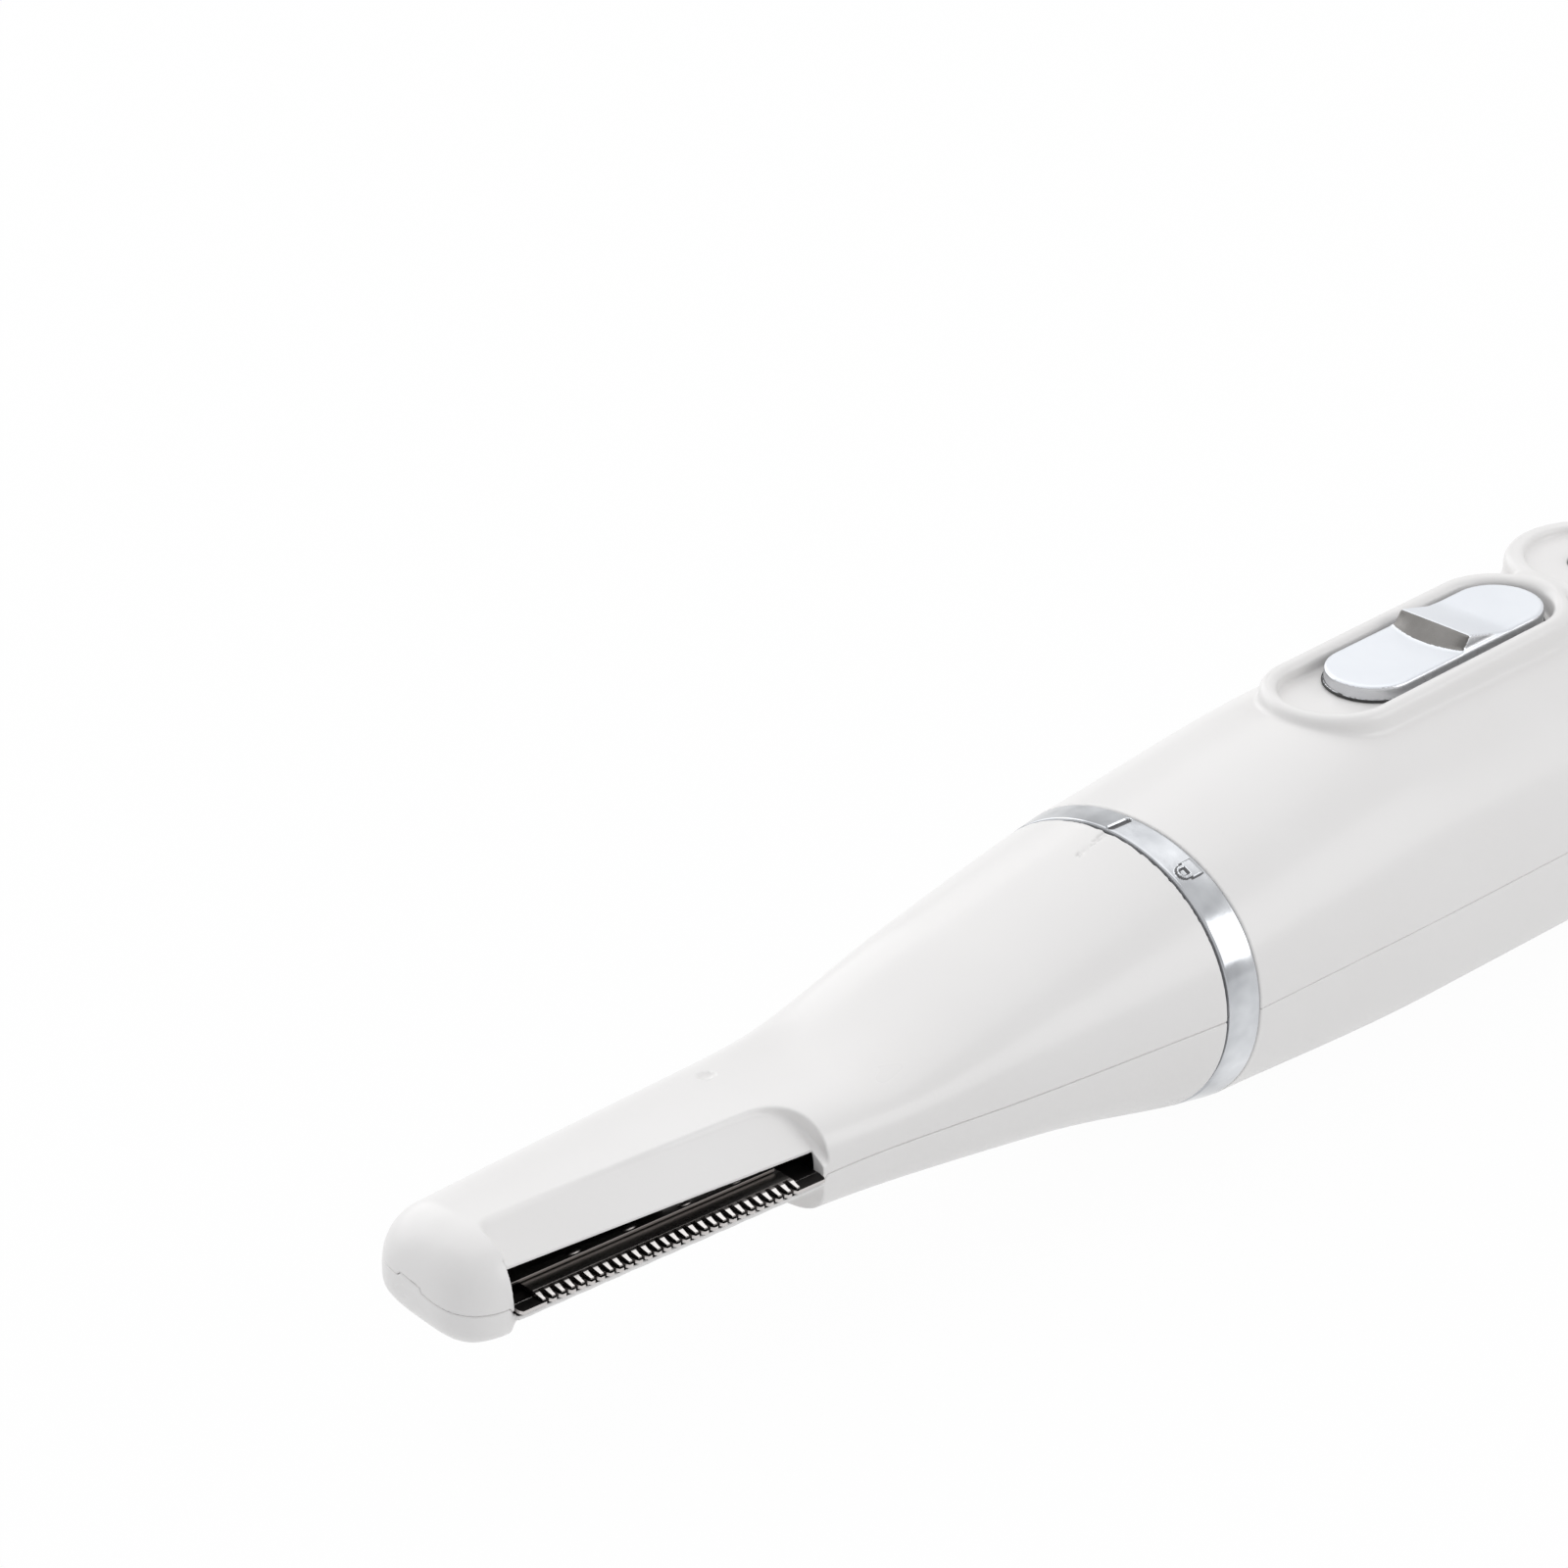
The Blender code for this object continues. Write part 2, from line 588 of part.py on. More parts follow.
def follow(knots, x):
    """The value at x of a smooth curve through (x, value) knots that never swings past them."""
    steps = [b[0] - a[0] for a, b in zip(knots, knots[1:])]
    slopes = [(b[1] - a[1]) / step for a, b, step in zip(knots, knots[1:], steps)]
    middle = [2 * a * b / (a + b) if a * b > 0 else 0.0 for a, b in zip(slopes, slopes[1:])]
    ends = [slopes[0], *middle, slopes[-1]]
    i = max(k for k in range(len(steps)) if k == 0 or x >= knots[k][0])
    t = min(max((x - knots[i][0]) / steps[i], 0.0), 1.0)
    start, finish = knots[i][1], knots[i + 1][1]
    return (
        start * (1 + 2 * t) * (1 - t) ** 2
        + finish * t * t * (3 - 2 * t)
        + steps[i] * (ends[i] * t * (1 - t) ** 2 - ends[i + 1] * t * t * (1 - t))
    )


def rounding(distance, radius):
    """How far a round corner draws in its wall, at this distance from the end."""
    if distance >= radius:
        return 0.0
    return radius - math.sqrt(max(radius**2 - (radius - distance) ** 2, 0.0))


HEAD_PLACES = (-HEAD_LENGTH, -PADDLE_ROOT_DISTANCE, -NECK_DISTANCE, -CONE_MIDDLE_DISTANCE, 0.0)
HEAD_HALF_WIDTHS = (
    TIP_HALF_WIDTH, PADDLE_ROOT_HALF_WIDTH, NECK_HALF_WIDTH, CONE_MIDDLE_HALF_WIDTH, RING_HALF_WIDTH,
)
HEAD_TOPS = (TIP_TOP, PADDLE_ROOT_TOP, NECK_TOP, CONE_MIDDLE_TOP, RING_HALF_HEIGHT)
HEAD_BOTTOMS = (TIP_BOTTOM, PADDLE_ROOT_BOTTOM, NECK_BOTTOM, CONE_MIDDLE_BOTTOM, RING_HALF_HEIGHT)
HEAD_SQUARENESS = (PADDLE_SQUARENESS, PADDLE_SQUARENESS, NECK_SQUARENESS, CONE_SQUARENESS, 2.0)


def head_section(x, wall=0.0):
    """The head's section at x, drawn in by a wall."""
    def at(values):
        return follow(list(zip(HEAD_PLACES, values)), x) - wall

    past_tip = x + HEAD_LENGTH - wall
    return Section(
        at(HEAD_HALF_WIDTHS) - rounding(past_tip, TIP_CORNER_RADIUS - wall),
        at(HEAD_TOPS) - rounding(past_tip, TIP_TOP_RADIUS - wall),
        at(HEAD_BOTTOMS) - rounding(past_tip, TIP_BOTTOM_RADIUS - wall),
        at(HEAD_SQUARENESS) + wall,
    )


HANDLE_PLACES = (HANDLE_START, SWITCH_STATION, REAR_STATION, HANDLE_END - TAIL_DISTANCE, HANDLE_END)


def handle_section(x, wall=0.0):
    """The handle's section at x, drawn in by a wall."""
    def at(front, full):
        values = (front, full, full, full - TAIL_TAPER, full - TAIL_TAPER - TAIL_DRAW_IN)
        return follow(list(zip(HANDLE_PLACES, values)), x) - wall

    drawn = rounding(HANDLE_END - wall - x, TAIL_ROUNDING - wall)
    return Section(
        at(HANDLE_FRONT_HALF_WIDTH, HANDLE_HALF_WIDTH) - drawn,
        at(HANDLE_FRONT_TOP, HANDLE_TOP) - drawn,
        at(HANDLE_FRONT_BOTTOM, HANDLE_BOTTOM) - drawn,
        HANDLE_SQUARENESS,
    )


def section_points(section, x, count):
    points = []
    for i in range(count):
        angle = 2 * math.pi * i / count
        c, s = math.cos(angle), math.sin(angle)
        power = 2 / section.squareness
        y = math.copysign(section.half_width * abs(c) ** power, c)
        z = math.copysign((section.top if s > 0 else section.bottom) * abs(s) ** power, s)
        points.append((x, y, z))
    return points


def loft(name, sections, material=None, parent=frame, count=36, helper=False):
    """A closed skin over (x, section) pairs, with a flat cap at each end."""
    def build(work):
        rings = [
            [work.verts.new(point) for point in section_points(section, x, count)]
            for x, section in sections
        ]
        for near, far in zip(rings, rings[1:]):
            for i in range(count):
                j = (i + 1) % count
                work.faces.new((near[i], near[j], far[j], far[i]))
        work.faces.new(rings[0][::-1])
        work.faces.new(rings[-1])

    return add_object(name, mesh_from(name, build), material, parent, helper=helper)


def spread(start, end, count):
    return [start + (end - start) * i / (count - 1) for i in range(count)]


def round_end(end, radius, count=5):
    """Places from a rounded end back to where its rounding stops, closest at the end."""
    return [end + radius * (1 - math.cos(math.radians(90) * i / count)) for i in range(count + 1)]


def stadium(start, end, half_width, steps=9):
    """A long outline with round ends, from start to end in x. Odd steps keep its points off the middle."""
    points = []
    for centre, first in ((end - half_width, -90), (start + half_width, 90)):
        for i in range(steps + 1):
            angle = math.radians(first + 180 * i / steps)
            points.append((centre + half_width * math.cos(angle), half_width * math.sin(angle)))
    return points


def arc(radius, start, end, steps):
    """Points on a circle about the origin, from one angle to another."""
    angles = [start + (end - start) * i / steps for i in range(steps + 1)]
    return [(radius * math.cos(angle), radius * math.sin(angle)) for angle in angles]


def toothed(start, end, reach, width):
    """A blade's outline in (along, inwards) points: teeth towards -Y, plain at the back."""
    root = TOOTH_DEPTH - reach
    points = [(start, width), (start, -reach), (TIP_BLOCK, -reach), (TIP_BLOCK, root)]
    for i in range(TOOTH_COUNT):
        middle = TIP_BLOCK + (i + 0.5) * TOOTH_PITCH
        points += [
            (middle - TOOTH_WIDTH / 2, root),
            (middle - TOOTH_TIP_WIDTH / 2, -reach),
            (middle + TOOTH_TIP_WIDTH / 2, -reach),
            (middle + TOOTH_WIDTH / 2, root),
        ]
    last = TIP_BLOCK + TOOTH_COUNT * TOOTH_PITCH
    return points + [(last, root), (last, -reach), (end, -reach), (end, width)]


# Head

SHELL_STEPS = 15
HEAD_END = -SEAT_GAP / 2


def head_loft(name, wall, count, steps, helper):
    tip = -HEAD_LENGTH + wall
    radius = TIP_CORNER_RADIUS - wall
    places = round_end(tip, radius)
    last = HEAD_END if wall == 0 else FAR
    places += spread(tip + radius, HEAD_END, steps)[1:]
    sections = [(x, head_section(x, wall)) for x in places]
    if wall:
        sections.append((last, sections[-1][1]))
    return loft(name, sections, WHITE, head_axis, count, helper)


def facet_height(along, inwards):
    return FACET_LIP_HEIGHT - FACET_FALL * along + FACET_RISE * (inwards - FACET_EDGE_INSET)


def facet_block(name, spare, drop):
    """The space over the slanted facet, made larger all round by spare and lower by drop."""
    inner = FACET_EDGE_INSET + FACET_DEPTH + spare
    start, end = -spare, WINDOW_LENGTH + spare
    outline = [
        (start, -FAR), (start, inner - FACET_CORNER), (start + FACET_CORNER, inner),
        (end - FACET_END_CHAMFER, inner), (end - FACET_END_CHAMFER / 4, inner - FACET_END_CHAMFER / 3),
        (end, inner - 0.7 * FACET_END_CHAMFER), (end, -FAR),
    ]

    def build(work):
        low = [work.verts.new((u, v, facet_height(u, v) - drop)) for u, v in outline]
        high = [work.verts.new((u, v, FAR)) for u, v in outline]
        work.faces.new(low[::-1])
        work.faces.new(high)
        for i in range(len(outline)):
            j = (i + 1) % len(outline)
            work.faces.new((low[i], low[j], high[j], high[i]))

    return add_object(name, mesh_from(name, build, False), None, blade_line, helper=True)


def height_at(half_width, height, squareness, side):
    """How high a section stands, this far to one side of its middle."""
    return height * (1 - (abs(side) / half_width) ** squareness) ** (1 / squareness)


def casing_screw(name, section, x, side, wall, envelope, lower, upper, parent):
    """A pan head screw under a casing, with its post in each half and the holes for it."""
    outer, inner = section(x), section(x, wall)
    edge = abs(side) + SCREW_HEAD_RADIUS
    seat = SCREW_SINK - height_at(outer.half_width, outer.bottom, outer.squareness, edge)
    floor = -height_at(inner.half_width, inner.bottom, inner.squareness, side)
    ceiling = height_at(inner.half_width, inner.top, inner.squareness, side)
    top = ceiling / 2

    def rod(label, radius, low, high, sides=16):
        return cylinder(f"{name}_{label}", radius, (x, side, low), (x, side, high), None, parent, sides, True)

    low_post = rod("lower_post", POST_RADIUS, floor - wall, -PARTING_GAP / 2)
    high_post = rod("upper_post", POST_RADIUS, PARTING_GAP / 2, ceiling + wall)
    for post in (low_post, high_post):
        combine(post, envelope, "INTERSECT")
    head_top = seat + SCREW_HEAD_HEIGHT
    counterbore = rod("counterbore", SCREW_HEAD_RADIUS + RUNNING_GAP, seat - FAR, head_top + RUNNING_GAP)
    hole = rod("hole", SCREW_RADIUS + RUNNING_GAP, seat, top + SEAT_GAP, 12)
    cut(join(lower, low_post), counterbore, hole)
    cut(join(upper, high_post), hole)
    screw = cylinder(name, SCREW_HEAD_RADIUS, (x, side, seat), (x, side, head_top), ZINC, parent, 16)
    length, width = SCREW_SLOT_LENGTH / 2, SCREW_SLOT_WIDTH / 2
    slot = box(f"{name}_drive", (x - length, side - width, seat - FAR),
               (x + length, side + width, seat + SCREW_SLOT_DEPTH), None, parent, True)
    middle = (seat + SCREW_SLOT_DEPTH + head_top) / 2
    cut(join(screw, rod("shank", SCREW_RADIUS, middle, top, 12)), slot)


def make_head_shells(below, above):
    upper = head_loft("head_upper_shell", 0.0, 40, SHELL_STEPS, False)
    lower = head_loft("head_lower_shell", 0.0, 40, SHELL_STEPS, False)
    envelope = head_loft("head_envelope", HEAD_WALL / 2, 28, 10, True)
    upper_cavity = head_loft("head_upper_cavity", HEAD_WALL, 28, 10, True)
    cut(upper_cavity, facet_block("facet_backing", FACET_WALL, FACET_WALL))
    cut(upper, upper_cavity)
    cut(lower, head_loft("head_lower_cavity", HEAD_WALL, 28, 10, True))
    for side, label in ((-1, "near"), (1, "far")):
        casing_screw(f"head_screw_{label}", head_section, -HEAD_SCREW_DISTANCE, side * HEAD_SCREW_SIDE,
                     HEAD_WALL, envelope, lower, upper, head_axis)
    window = box("blade_window", (0, -FAR, -FAR), (WINDOW_LENGTH, FACET_EDGE_INSET, FAR), None, blade_line,
                 True)
    cut(upper, below, facet_block("facet_space", FACET_MARGIN, 0), window)
    cut(lower, above)
    make_pivot(lower)
    return lower


def make_pivot(lower):
    """The post in the lower half and the steel pin that the lever turns on."""
    section = head_section(-LEVER_PIVOT_DISTANCE, HEAD_WALL)
    floor = -height_at(section.half_width, section.bottom, section.squareness, LEVER_PIVOT_SIDE)
    level = LEVER_LOW - RUNNING_GAP

    def rod(name, radius, low, high, material=None):
        return cylinder(name, radius, pivot_place + Vector((0, 0, low)), pivot_place + Vector((0, 0, high)),
                        material, head_axis, 16, material is None)

    post = rod("pivot_post", LEVER_BOSS_RADIUS, floor - HEAD_WALL / 3, level)
    bore = rod("pivot_bore", PIVOT_PIN_RADIUS + SHEET_GAP, floor, FAR)
    cut(join(lower, post), bore)
    rod("lever_pivot_pin", PIVOT_PIN_RADIUS, floor + RUNNING_GAP, LEVER_TOP + RUNNING_GAP, SPRING_STEEL)


def make_sleeve():
    start = -SLEEVE_FLANGE_RECESS - SLEEVE_FLANGE_THICKNESS
    room = head_section(start, HEAD_WALL)
    flange_radius = min(room.top, room.bottom) - SEAT_GAP
    sleeve = turned(
        "bayonet_sleeve",
        [(SLEEVE_BORE, start), (flange_radius, start), (flange_radius, start + SLEEVE_FLANGE_THICKNESS),
         (SLEEVE_RADIUS, start + SLEEVE_FLANGE_THICKNESS), (SLEEVE_RADIUS, SLEEVE_REACH),
         (SLEEVE_BORE, SLEEVE_REACH)],
        WHITE, head_axis,
    )
    for i in range(LUG_COUNT):
        lug = box(f"lug_{i + 1}", (LUG_START, -LUG_WIDTH / 2, (SLEEVE_BORE + SLEEVE_RADIUS) / 2),
                  (SLEEVE_REACH, LUG_WIDTH / 2, LUG_RADIUS), None, head_axis, True)
        lug.matrix_basis = Matrix.Rotation(2 * math.pi * i / LUG_COUNT, 4, "X") @ lug.matrix_basis
        join(sleeve, lug)


def circle(centre, radius, steps=12):
    """An outline that starts half a step round, so that no point lies straight ahead of its centre."""
    half = math.pi / steps
    return [(centre[0] + x, centre[1] + y) for x, y in arc(radius, half, 2 * math.pi - half, steps - 1)]


def make_blades(lower):
    """The fixed comb, the flat spring over it and their screws in the lower half."""
    screws = {
        "tip": (COMB_SCREW_END, COMB_SCREW_INSET),
        "neck": (WINDOW_LENGTH - COMB_SCREW_END, COMB_SCREW_INSET),
    }
    hole_radius = COMB_SCREW_RADIUS + RUNNING_GAP
    holes = [circle(place, hole_radius) for place in screws.values()]
    plate("comb_blade", toothed(RUNNING_GAP, WINDOW_LENGTH - RUNNING_GAP, COMB_OVERHANG, COMB_WIDTH),
          COMB_LOW, COMB_TOP, DARK_STEEL, blade_line, holes=holes)
    spring_start = RUNNING_GAP + SHEET_GAP
    spring_end = WINDOW_LENGTH - SPRING_TAB
    outer, inner = SPRING_INSET, SPRING_INSET + SPRING_WIDTH
    tab_end = spring_start + SPRING_TAB
    outline = [(spring_start, outer), (spring_end, outer), (spring_end, inner), (tab_end, inner),
               (tab_end, COMB_WIDTH), (spring_start, COMB_WIDTH)]
    spring_low = MOVING_TOP + SHEET_GAP
    spring_top = spring_low + SPRING_THICKNESS
    plate("blade_spring", outline, spring_low, spring_top, DARK_STEEL, blade_line, holes=[holes[0]])
    for (label, (along, inset)), low in zip(screws.items(), (spring_top, COMB_TOP)):
        head_low = low + SHEET_GAP
        place = blade_line.matrix_basis @ Vector((along, inset, 0))
        section = head_section(place.x, HEAD_WALL)
        floor = -height_at(section.half_width, section.bottom, section.squareness, place.y)

        def rod(part, radius, start, end, material=None):
            return cylinder(f"comb_screw_{label}{part}", radius, (along, inset, start), (along, inset, end),
                            material, blade_line, 12, material is None)

        screw = rod("", COMB_SCREW_HEAD_RADIUS, head_low, head_low + COMB_SCREW_HEAD_HEIGHT, ZINC)
        shank_low = COMB_LOW - COMB_SCREW_LENGTH
        join(screw, rod("_shank", COMB_SCREW_RADIUS, shank_low, head_low + COMB_SCREW_HEAD_HEIGHT / 2))
        join(lower, rod("_post", COMB_SCREW_HEAD_RADIUS, floor - HEAD_WALL / 3, -PARTING_GAP / 2))
        cut(lower, rod("_hole", hole_radius, shank_low - RUNNING_GAP, FAR))


def make_cutter():
    """The moving blade and the carrier that the lever's peg pushes."""
    start = TIP_BLOCK - MOVING_END_BLOCK
    end = TIP_BLOCK + TOOTH_COUNT * TOOTH_PITCH + MOVING_END_BLOCK
    plate("moving_blade", toothed(start, end, 0.0, BLADE_WIDTH), MOVING_LOW, MOVING_TOP, BLADE_STEEL,
          cutter_axis)
    peg = peg_place()
    bar_low = BLADE_WIDTH - CARRIER_BAR_WIDTH
    wide_start, wide_end = peg.x - CARRIER_END_LENGTH / 2, peg.x + CARRIER_END_LENGTH / 2
    inner = peg.y + LEVER_PEG_RADIUS + CARRIER_END_OVERREACH
    bar_start = end - CARRIER_BAR_LENGTH
    outline = [(bar_start, bar_low), (wide_end, bar_low), (wide_end, inner), (wide_start, inner),
               (wide_start, BLADE_WIDTH), (bar_start, BLADE_WIDTH)]
    drift = 2 * STROKE * math.tan(BLADE_LEAN) + LEVER_PEG_ARM * (1 - math.cos(SWING))
    reach = LEVER_PEG_RADIUS + RUNNING_GAP
    slot = [(peg.x + dx, peg.y + dy) for dx, dy in (
        (-reach, -reach - drift), (reach, -reach - drift), (reach, reach + drift), (-reach, reach + drift))]
    plate("blade_carrier", outline, CARRIER_LOW, CARRIER_TOP, GREY_NYLON, cutter_axis, holes=[slot])


def peg_place():
    """The lever's peg in the blade line's own directions."""
    place = pivot_place - Vector((0, LEVER_PEG_ARM, 0))
    return Matrix.Rotation(BLADE_LEAN, 4, "Z") @ (place - BLADE_START)


def make_lever():
    """A T of nylon: the pivot and the peg at the ends of its bar, the fork at the end of its stem."""
    fork_end = HUB_START - FORK_TO_HUB + LEVER_PIVOT_DISTANCE
    fork_start = fork_end - FORK_LENGTH
    half = LEVER_ARM_WIDTH / 2
    stem = -LEVER_PIVOT_SIDE
    peg = (0, -LEVER_PEG_ARM)
    around_peg = [(peg[0] + x, peg[1] + y) for x, y in arc(LEVER_END_RADIUS, math.pi, 2 * math.pi, 8)]
    around_pivot = arc(LEVER_BOSS_RADIUS, 0, math.pi, 8)
    outline = around_peg + [
        (LEVER_END_RADIUS, stem - half), (fork_start, stem - half), (fork_start, stem + half),
        (LEVER_END_RADIUS, stem + half),
    ] + around_pivot
    bore = circle((0, 0), PIVOT_PIN_RADIUS + SHEET_GAP, 16)
    lever = plate("drive_lever", outline, LEVER_LOW, LEVER_TOP, GREY_NYLON, lever_axis, holes=[bore])
    join(lever, box("fork_bridge", (fork_start - FORK_BRIDGE, stem - FORK_HALF_WIDTH, -FORK_DROP),
                    (fork_start, stem + FORK_HALF_WIDTH, LEVER_TOP), None, lever_axis, True))
    for side, label in ((-1, "near"), (1, "far")):
        edges = sorted((stem + side * FORK_SLOT_HALF, stem + side * FORK_HALF_WIDTH))
        join(lever, box(f"fork_tine_{label}", (fork_start - FORK_BRIDGE / 2, edges[0], -FORK_DROP),
                        (fork_end, edges[1], LEVER_TOP), None, lever_axis, True))
    join(lever, cylinder("lever_peg", LEVER_PEG_RADIUS, (*peg, CARRIER_LOW + RUNNING_GAP),
                         (*peg, (LEVER_LOW + LEVER_TOP) / 2), None, lever_axis, 12, True))


# Ring, socket and handle casing

def lug_slots(label, start, end):
    """Passages for the sleeve's lugs, open where the head is twisted to come off."""
    slots = []
    half = LUG_WIDTH / 2 + SEAT_GAP
    for i in range(LUG_COUNT):
        slot = box(f"{label}_slot_{i + 1}", (start, -half, 0), (end, half, GROOVE_RADIUS), None, frame, True)
        turn = Matrix.Rotation(TWIST_TO_UNLOCK + 2 * math.pi * i / LUG_COUNT, 4, "X")
        slot.matrix_basis = turn @ slot.matrix_basis
        slots.append(slot)
    return slots


def make_ring_and_socket():
    front = Section(RING_HALF_WIDTH, RING_HALF_HEIGHT, RING_HALF_HEIGHT, 2.0)
    rear = Section(HANDLE_FRONT_HALF_WIDTH, HANDLE_FRONT_TOP, HANDLE_FRONT_BOTTOM, HANDLE_SQUARENESS)
    ring = loft("chrome_ring", [(RING_START, front), (RING_END, rear)], CHROME, count=48)
    bore = cylinder("ring_bore", RING_BORE, (-FAR, 0, 0), (FAR, 0, 0), sides=32, helper=True)
    cut(ring, bore, *lug_slots("ring", -FAR, RING_END + SEAT_GAP / 2))
    profile = [(RING_BORE, HANDLE_START), (SOCKET_RADIUS, HANDLE_START), (SOCKET_RADIUS, SOCKET_END),
               (RING_BORE, SOCKET_END), (RING_BORE, GROOVE_END), (GROOVE_RADIUS, GROOVE_END),
               (GROOVE_RADIUS, GROOVE_START), (RING_BORE, GROOVE_START)]
    socket = turned("bayonet_socket", profile, BLACK_NYLON)
    cut(socket, *lug_slots("socket", 0, (GROOVE_START + GROOVE_END) / 2))


def handle_loft(name, wall, count, steps, helper):
    end = HANDLE_END - wall
    radius = TAIL_ROUNDING - wall
    places = spread(HANDLE_START, end - radius, steps) + round_end(end, -radius)[::-1][1:]
    sections = [(x, handle_section(x, wall)) for x in places]
    if wall:
        sections.insert(0, (-FAR, sections[0][1]))
    return loft(name, sections, WHITE, frame, count, helper)


def make_handle_shells(below, above):
    upper = handle_loft("handle_upper_shell", 0.0, 40, 12, False)
    lower = handle_loft("handle_lower_shell", 0.0, 40, 12, False)
    envelope = handle_loft("handle_envelope", HANDLE_WALL / 2, 32, 9, True)
    upper_cavity = handle_loft("handle_upper_cavity", HANDLE_WALL, 32, 9, True)
    recess = stadium(RECESS_START, RECESS_END, RECESS_HALF_WIDTH)
    spare = HANDLE_WALL
    backing = stadium(RECESS_START - spare, RECESS_END + spare, RECESS_HALF_WIDTH + spare)
    cut(upper_cavity, plate("recess_backing", backing, RECESS_CEILING, FAR, helper=True))
    rim = stadium(RECESS_START - RIM_WIDTH, RECESS_END + RIM_WIDTH, RECESS_HALF_WIDTH + RIM_WIDTH, 13)
    join(upper, plate("switch_rim", rim, RECESS_CEILING, RIM_TOP, helper=True))
    centre = (BOSS_PLACE, 0)

    def disc(name, radius, low, high):
        return plate(name, circle(centre, radius, 32), low, high, helper=True)

    join(upper, disc("indicator_boss", BOSS_RADIUS, RECESS_CEILING, BOSS_TOP))
    cut(upper, upper_cavity)
    cut(upper, plate("switch_recess", recess, RECESS_FLOOR, FAR, helper=True))
    cut(upper, disc("indicator_dish", BOSS_RADIUS - BOSS_RIM_WIDTH, BOSS_FLOOR, FAR))
    cut(upper, disc("lens_hole", LENS_RADIUS + RUNNING_GAP, 0, FAR))
    slot_half = STEM_HALF_WIDTH + 2 * RUNNING_GAP
    cut(upper, box("stem_slot", (STEM_START - SWITCH_TRAVEL - 2 * RUNNING_GAP, -slot_half, 0),
                   (STEM_START + STEM_LENGTH + 2 * RUNNING_GAP, slot_half, FAR), helper=True))
    cut(lower, handle_loft("handle_lower_cavity", HANDLE_WALL, 32, 9, True))
    for i, place in enumerate(FRAME_RIB_PLACES, 1):
        rib_end = (place + FRAME_RIB_THICKNESS, FRAME_FLOOR_HALF_WIDTH, FRAME_FLOOR_LOW - SEAT_GAP)
        rib = box(f"frame_rib_{i}", (place, -FRAME_FLOOR_HALF_WIDTH, -FAR), rib_end, helper=True)
        join(lower, combine(rib, envelope, "INTERSECT"))
    for side, label in ((-1, "near"), (1, "far")):
        casing_screw(f"handle_screw_{label}", handle_section, HANDLE_SCREW_PLACE, side * HANDLE_SCREW_SIDE,
                     HANDLE_WALL, envelope, lower, upper, frame)
    jack_hole = cylinder("jack_hole", JACK_RADIUS + RUNNING_GAP, (JACK_END, 0, 0), (HANDLE_END + FAR, 0, 0),
                         sides=20, helper=True)
    belly = box("belly_cut", (-FAR, -FAR, -FAR), (3 * FAR, FAR, BELLY), helper=True)
    cut(upper, jack_hole, below)
    cut(lower, jack_hole, above, belly)


# Motor

def flat_circle(radius, flat, steps=9):
    """A circle with two flats, above and below, as (y, z) points."""
    end = math.asin(flat / radius)
    return arc(radius, -end, end, steps) + arc(radius, math.pi - end, math.pi + end, steps)


def make_motor():
    can = cross_plate("motor_can", flat_circle(MOTOR_RADIUS, MOTOR_FLAT), MOTOR_START, MOTOR_END, CAN_STEEL)
    inside = flat_circle(MOTOR_RADIUS - MOTOR_CAN_WALL, MOTOR_FLAT - MOTOR_CAN_WALL)
    cut(can, cross_plate("motor_space", inside, MOTOR_START + MOTOR_CAN_WALL, MOTOR_END + FAR, helper=True))
    bush_start = MOTOR_START - BUSH_LENGTH / 2
    bush_end = bush_start + BUSH_LENGTH
    room = BUSH_RADIUS + SHEET_GAP
    cut(can, cylinder("bush_hole", room, (bush_start, 0, 0), (bush_end, 0, 0), helper=True))
    bore = SHAFT_RADIUS + SHEET_GAP
    turned("front_bush", ring_profile(bore, BUSH_RADIUS, bush_start, bush_end), BRONZE, steps=24)
    rim = flat_circle(MOTOR_RADIUS, MOTOR_FLAT)
    cap = cross_plate("motor_end_cap", rim, MOTOR_END + SEAT_GAP, END_CAP_END, BLACK_NYLON)
    cut(cap, cylinder("cap_bore", bore, (MOTOR_END, 0, 0), (END_CAP_END + FAR, 0, 0), sides=16, helper=True))
    outer = MOTOR_RADIUS - MOTOR_CAN_WALL - SEAT_GAP
    inner = outer - MAGNET_THICKNESS
    magnet_start = (MOTOR_START + MOTOR_END - MAGNET_LENGTH) / 2
    for turn, label in ((math.pi, "near"), (0, "far")):
        outline = (arc(outer, turn - MAGNET_HALF_ANGLE, turn + MAGNET_HALF_ANGLE, 8)
                   + arc(inner, turn + MAGNET_HALF_ANGLE, turn - MAGNET_HALF_ANGLE, 8))
        cross_plate(f"motor_magnet_{label}", outline, magnet_start, magnet_start + MAGNET_LENGTH, FERRITE)
        side = math.cos(turn)
        brush = sorted((side * (COMMUTATOR_RADIUS + RUNNING_GAP),
                        side * (COMMUTATOR_RADIUS + RUNNING_GAP + BRUSH_THICKNESS)))
        box(f"motor_brush_{label}", (commutator_place() + RUNNING_GAP, brush[0], -BRUSH_HEIGHT / 2),
            (MOTOR_END, brush[1], BRUSH_HEIGHT / 2), COPPER)
        edges = (side * TERMINAL_SIDE - TERMINAL_WIDTH / 2, side * TERMINAL_SIDE + TERMINAL_WIDTH / 2)
        box(f"motor_terminal_{label}", (END_CAP_END + SHEET_GAP, edges[0], -TERMINAL_THICKNESS / 2),
            (END_CAP_END + TERMINAL_LENGTH, edges[1], TERMINAL_THICKNESS / 2), SPRING_STEEL)


def ring_profile(inner, outer, start, end):
    return [(inner, start), (outer, start), (outer, end), (inner, end)]


def core_start():
    return (MOTOR_START + MOTOR_END - CORE_LENGTH) / 2 - WINDING_LENGTH / 4


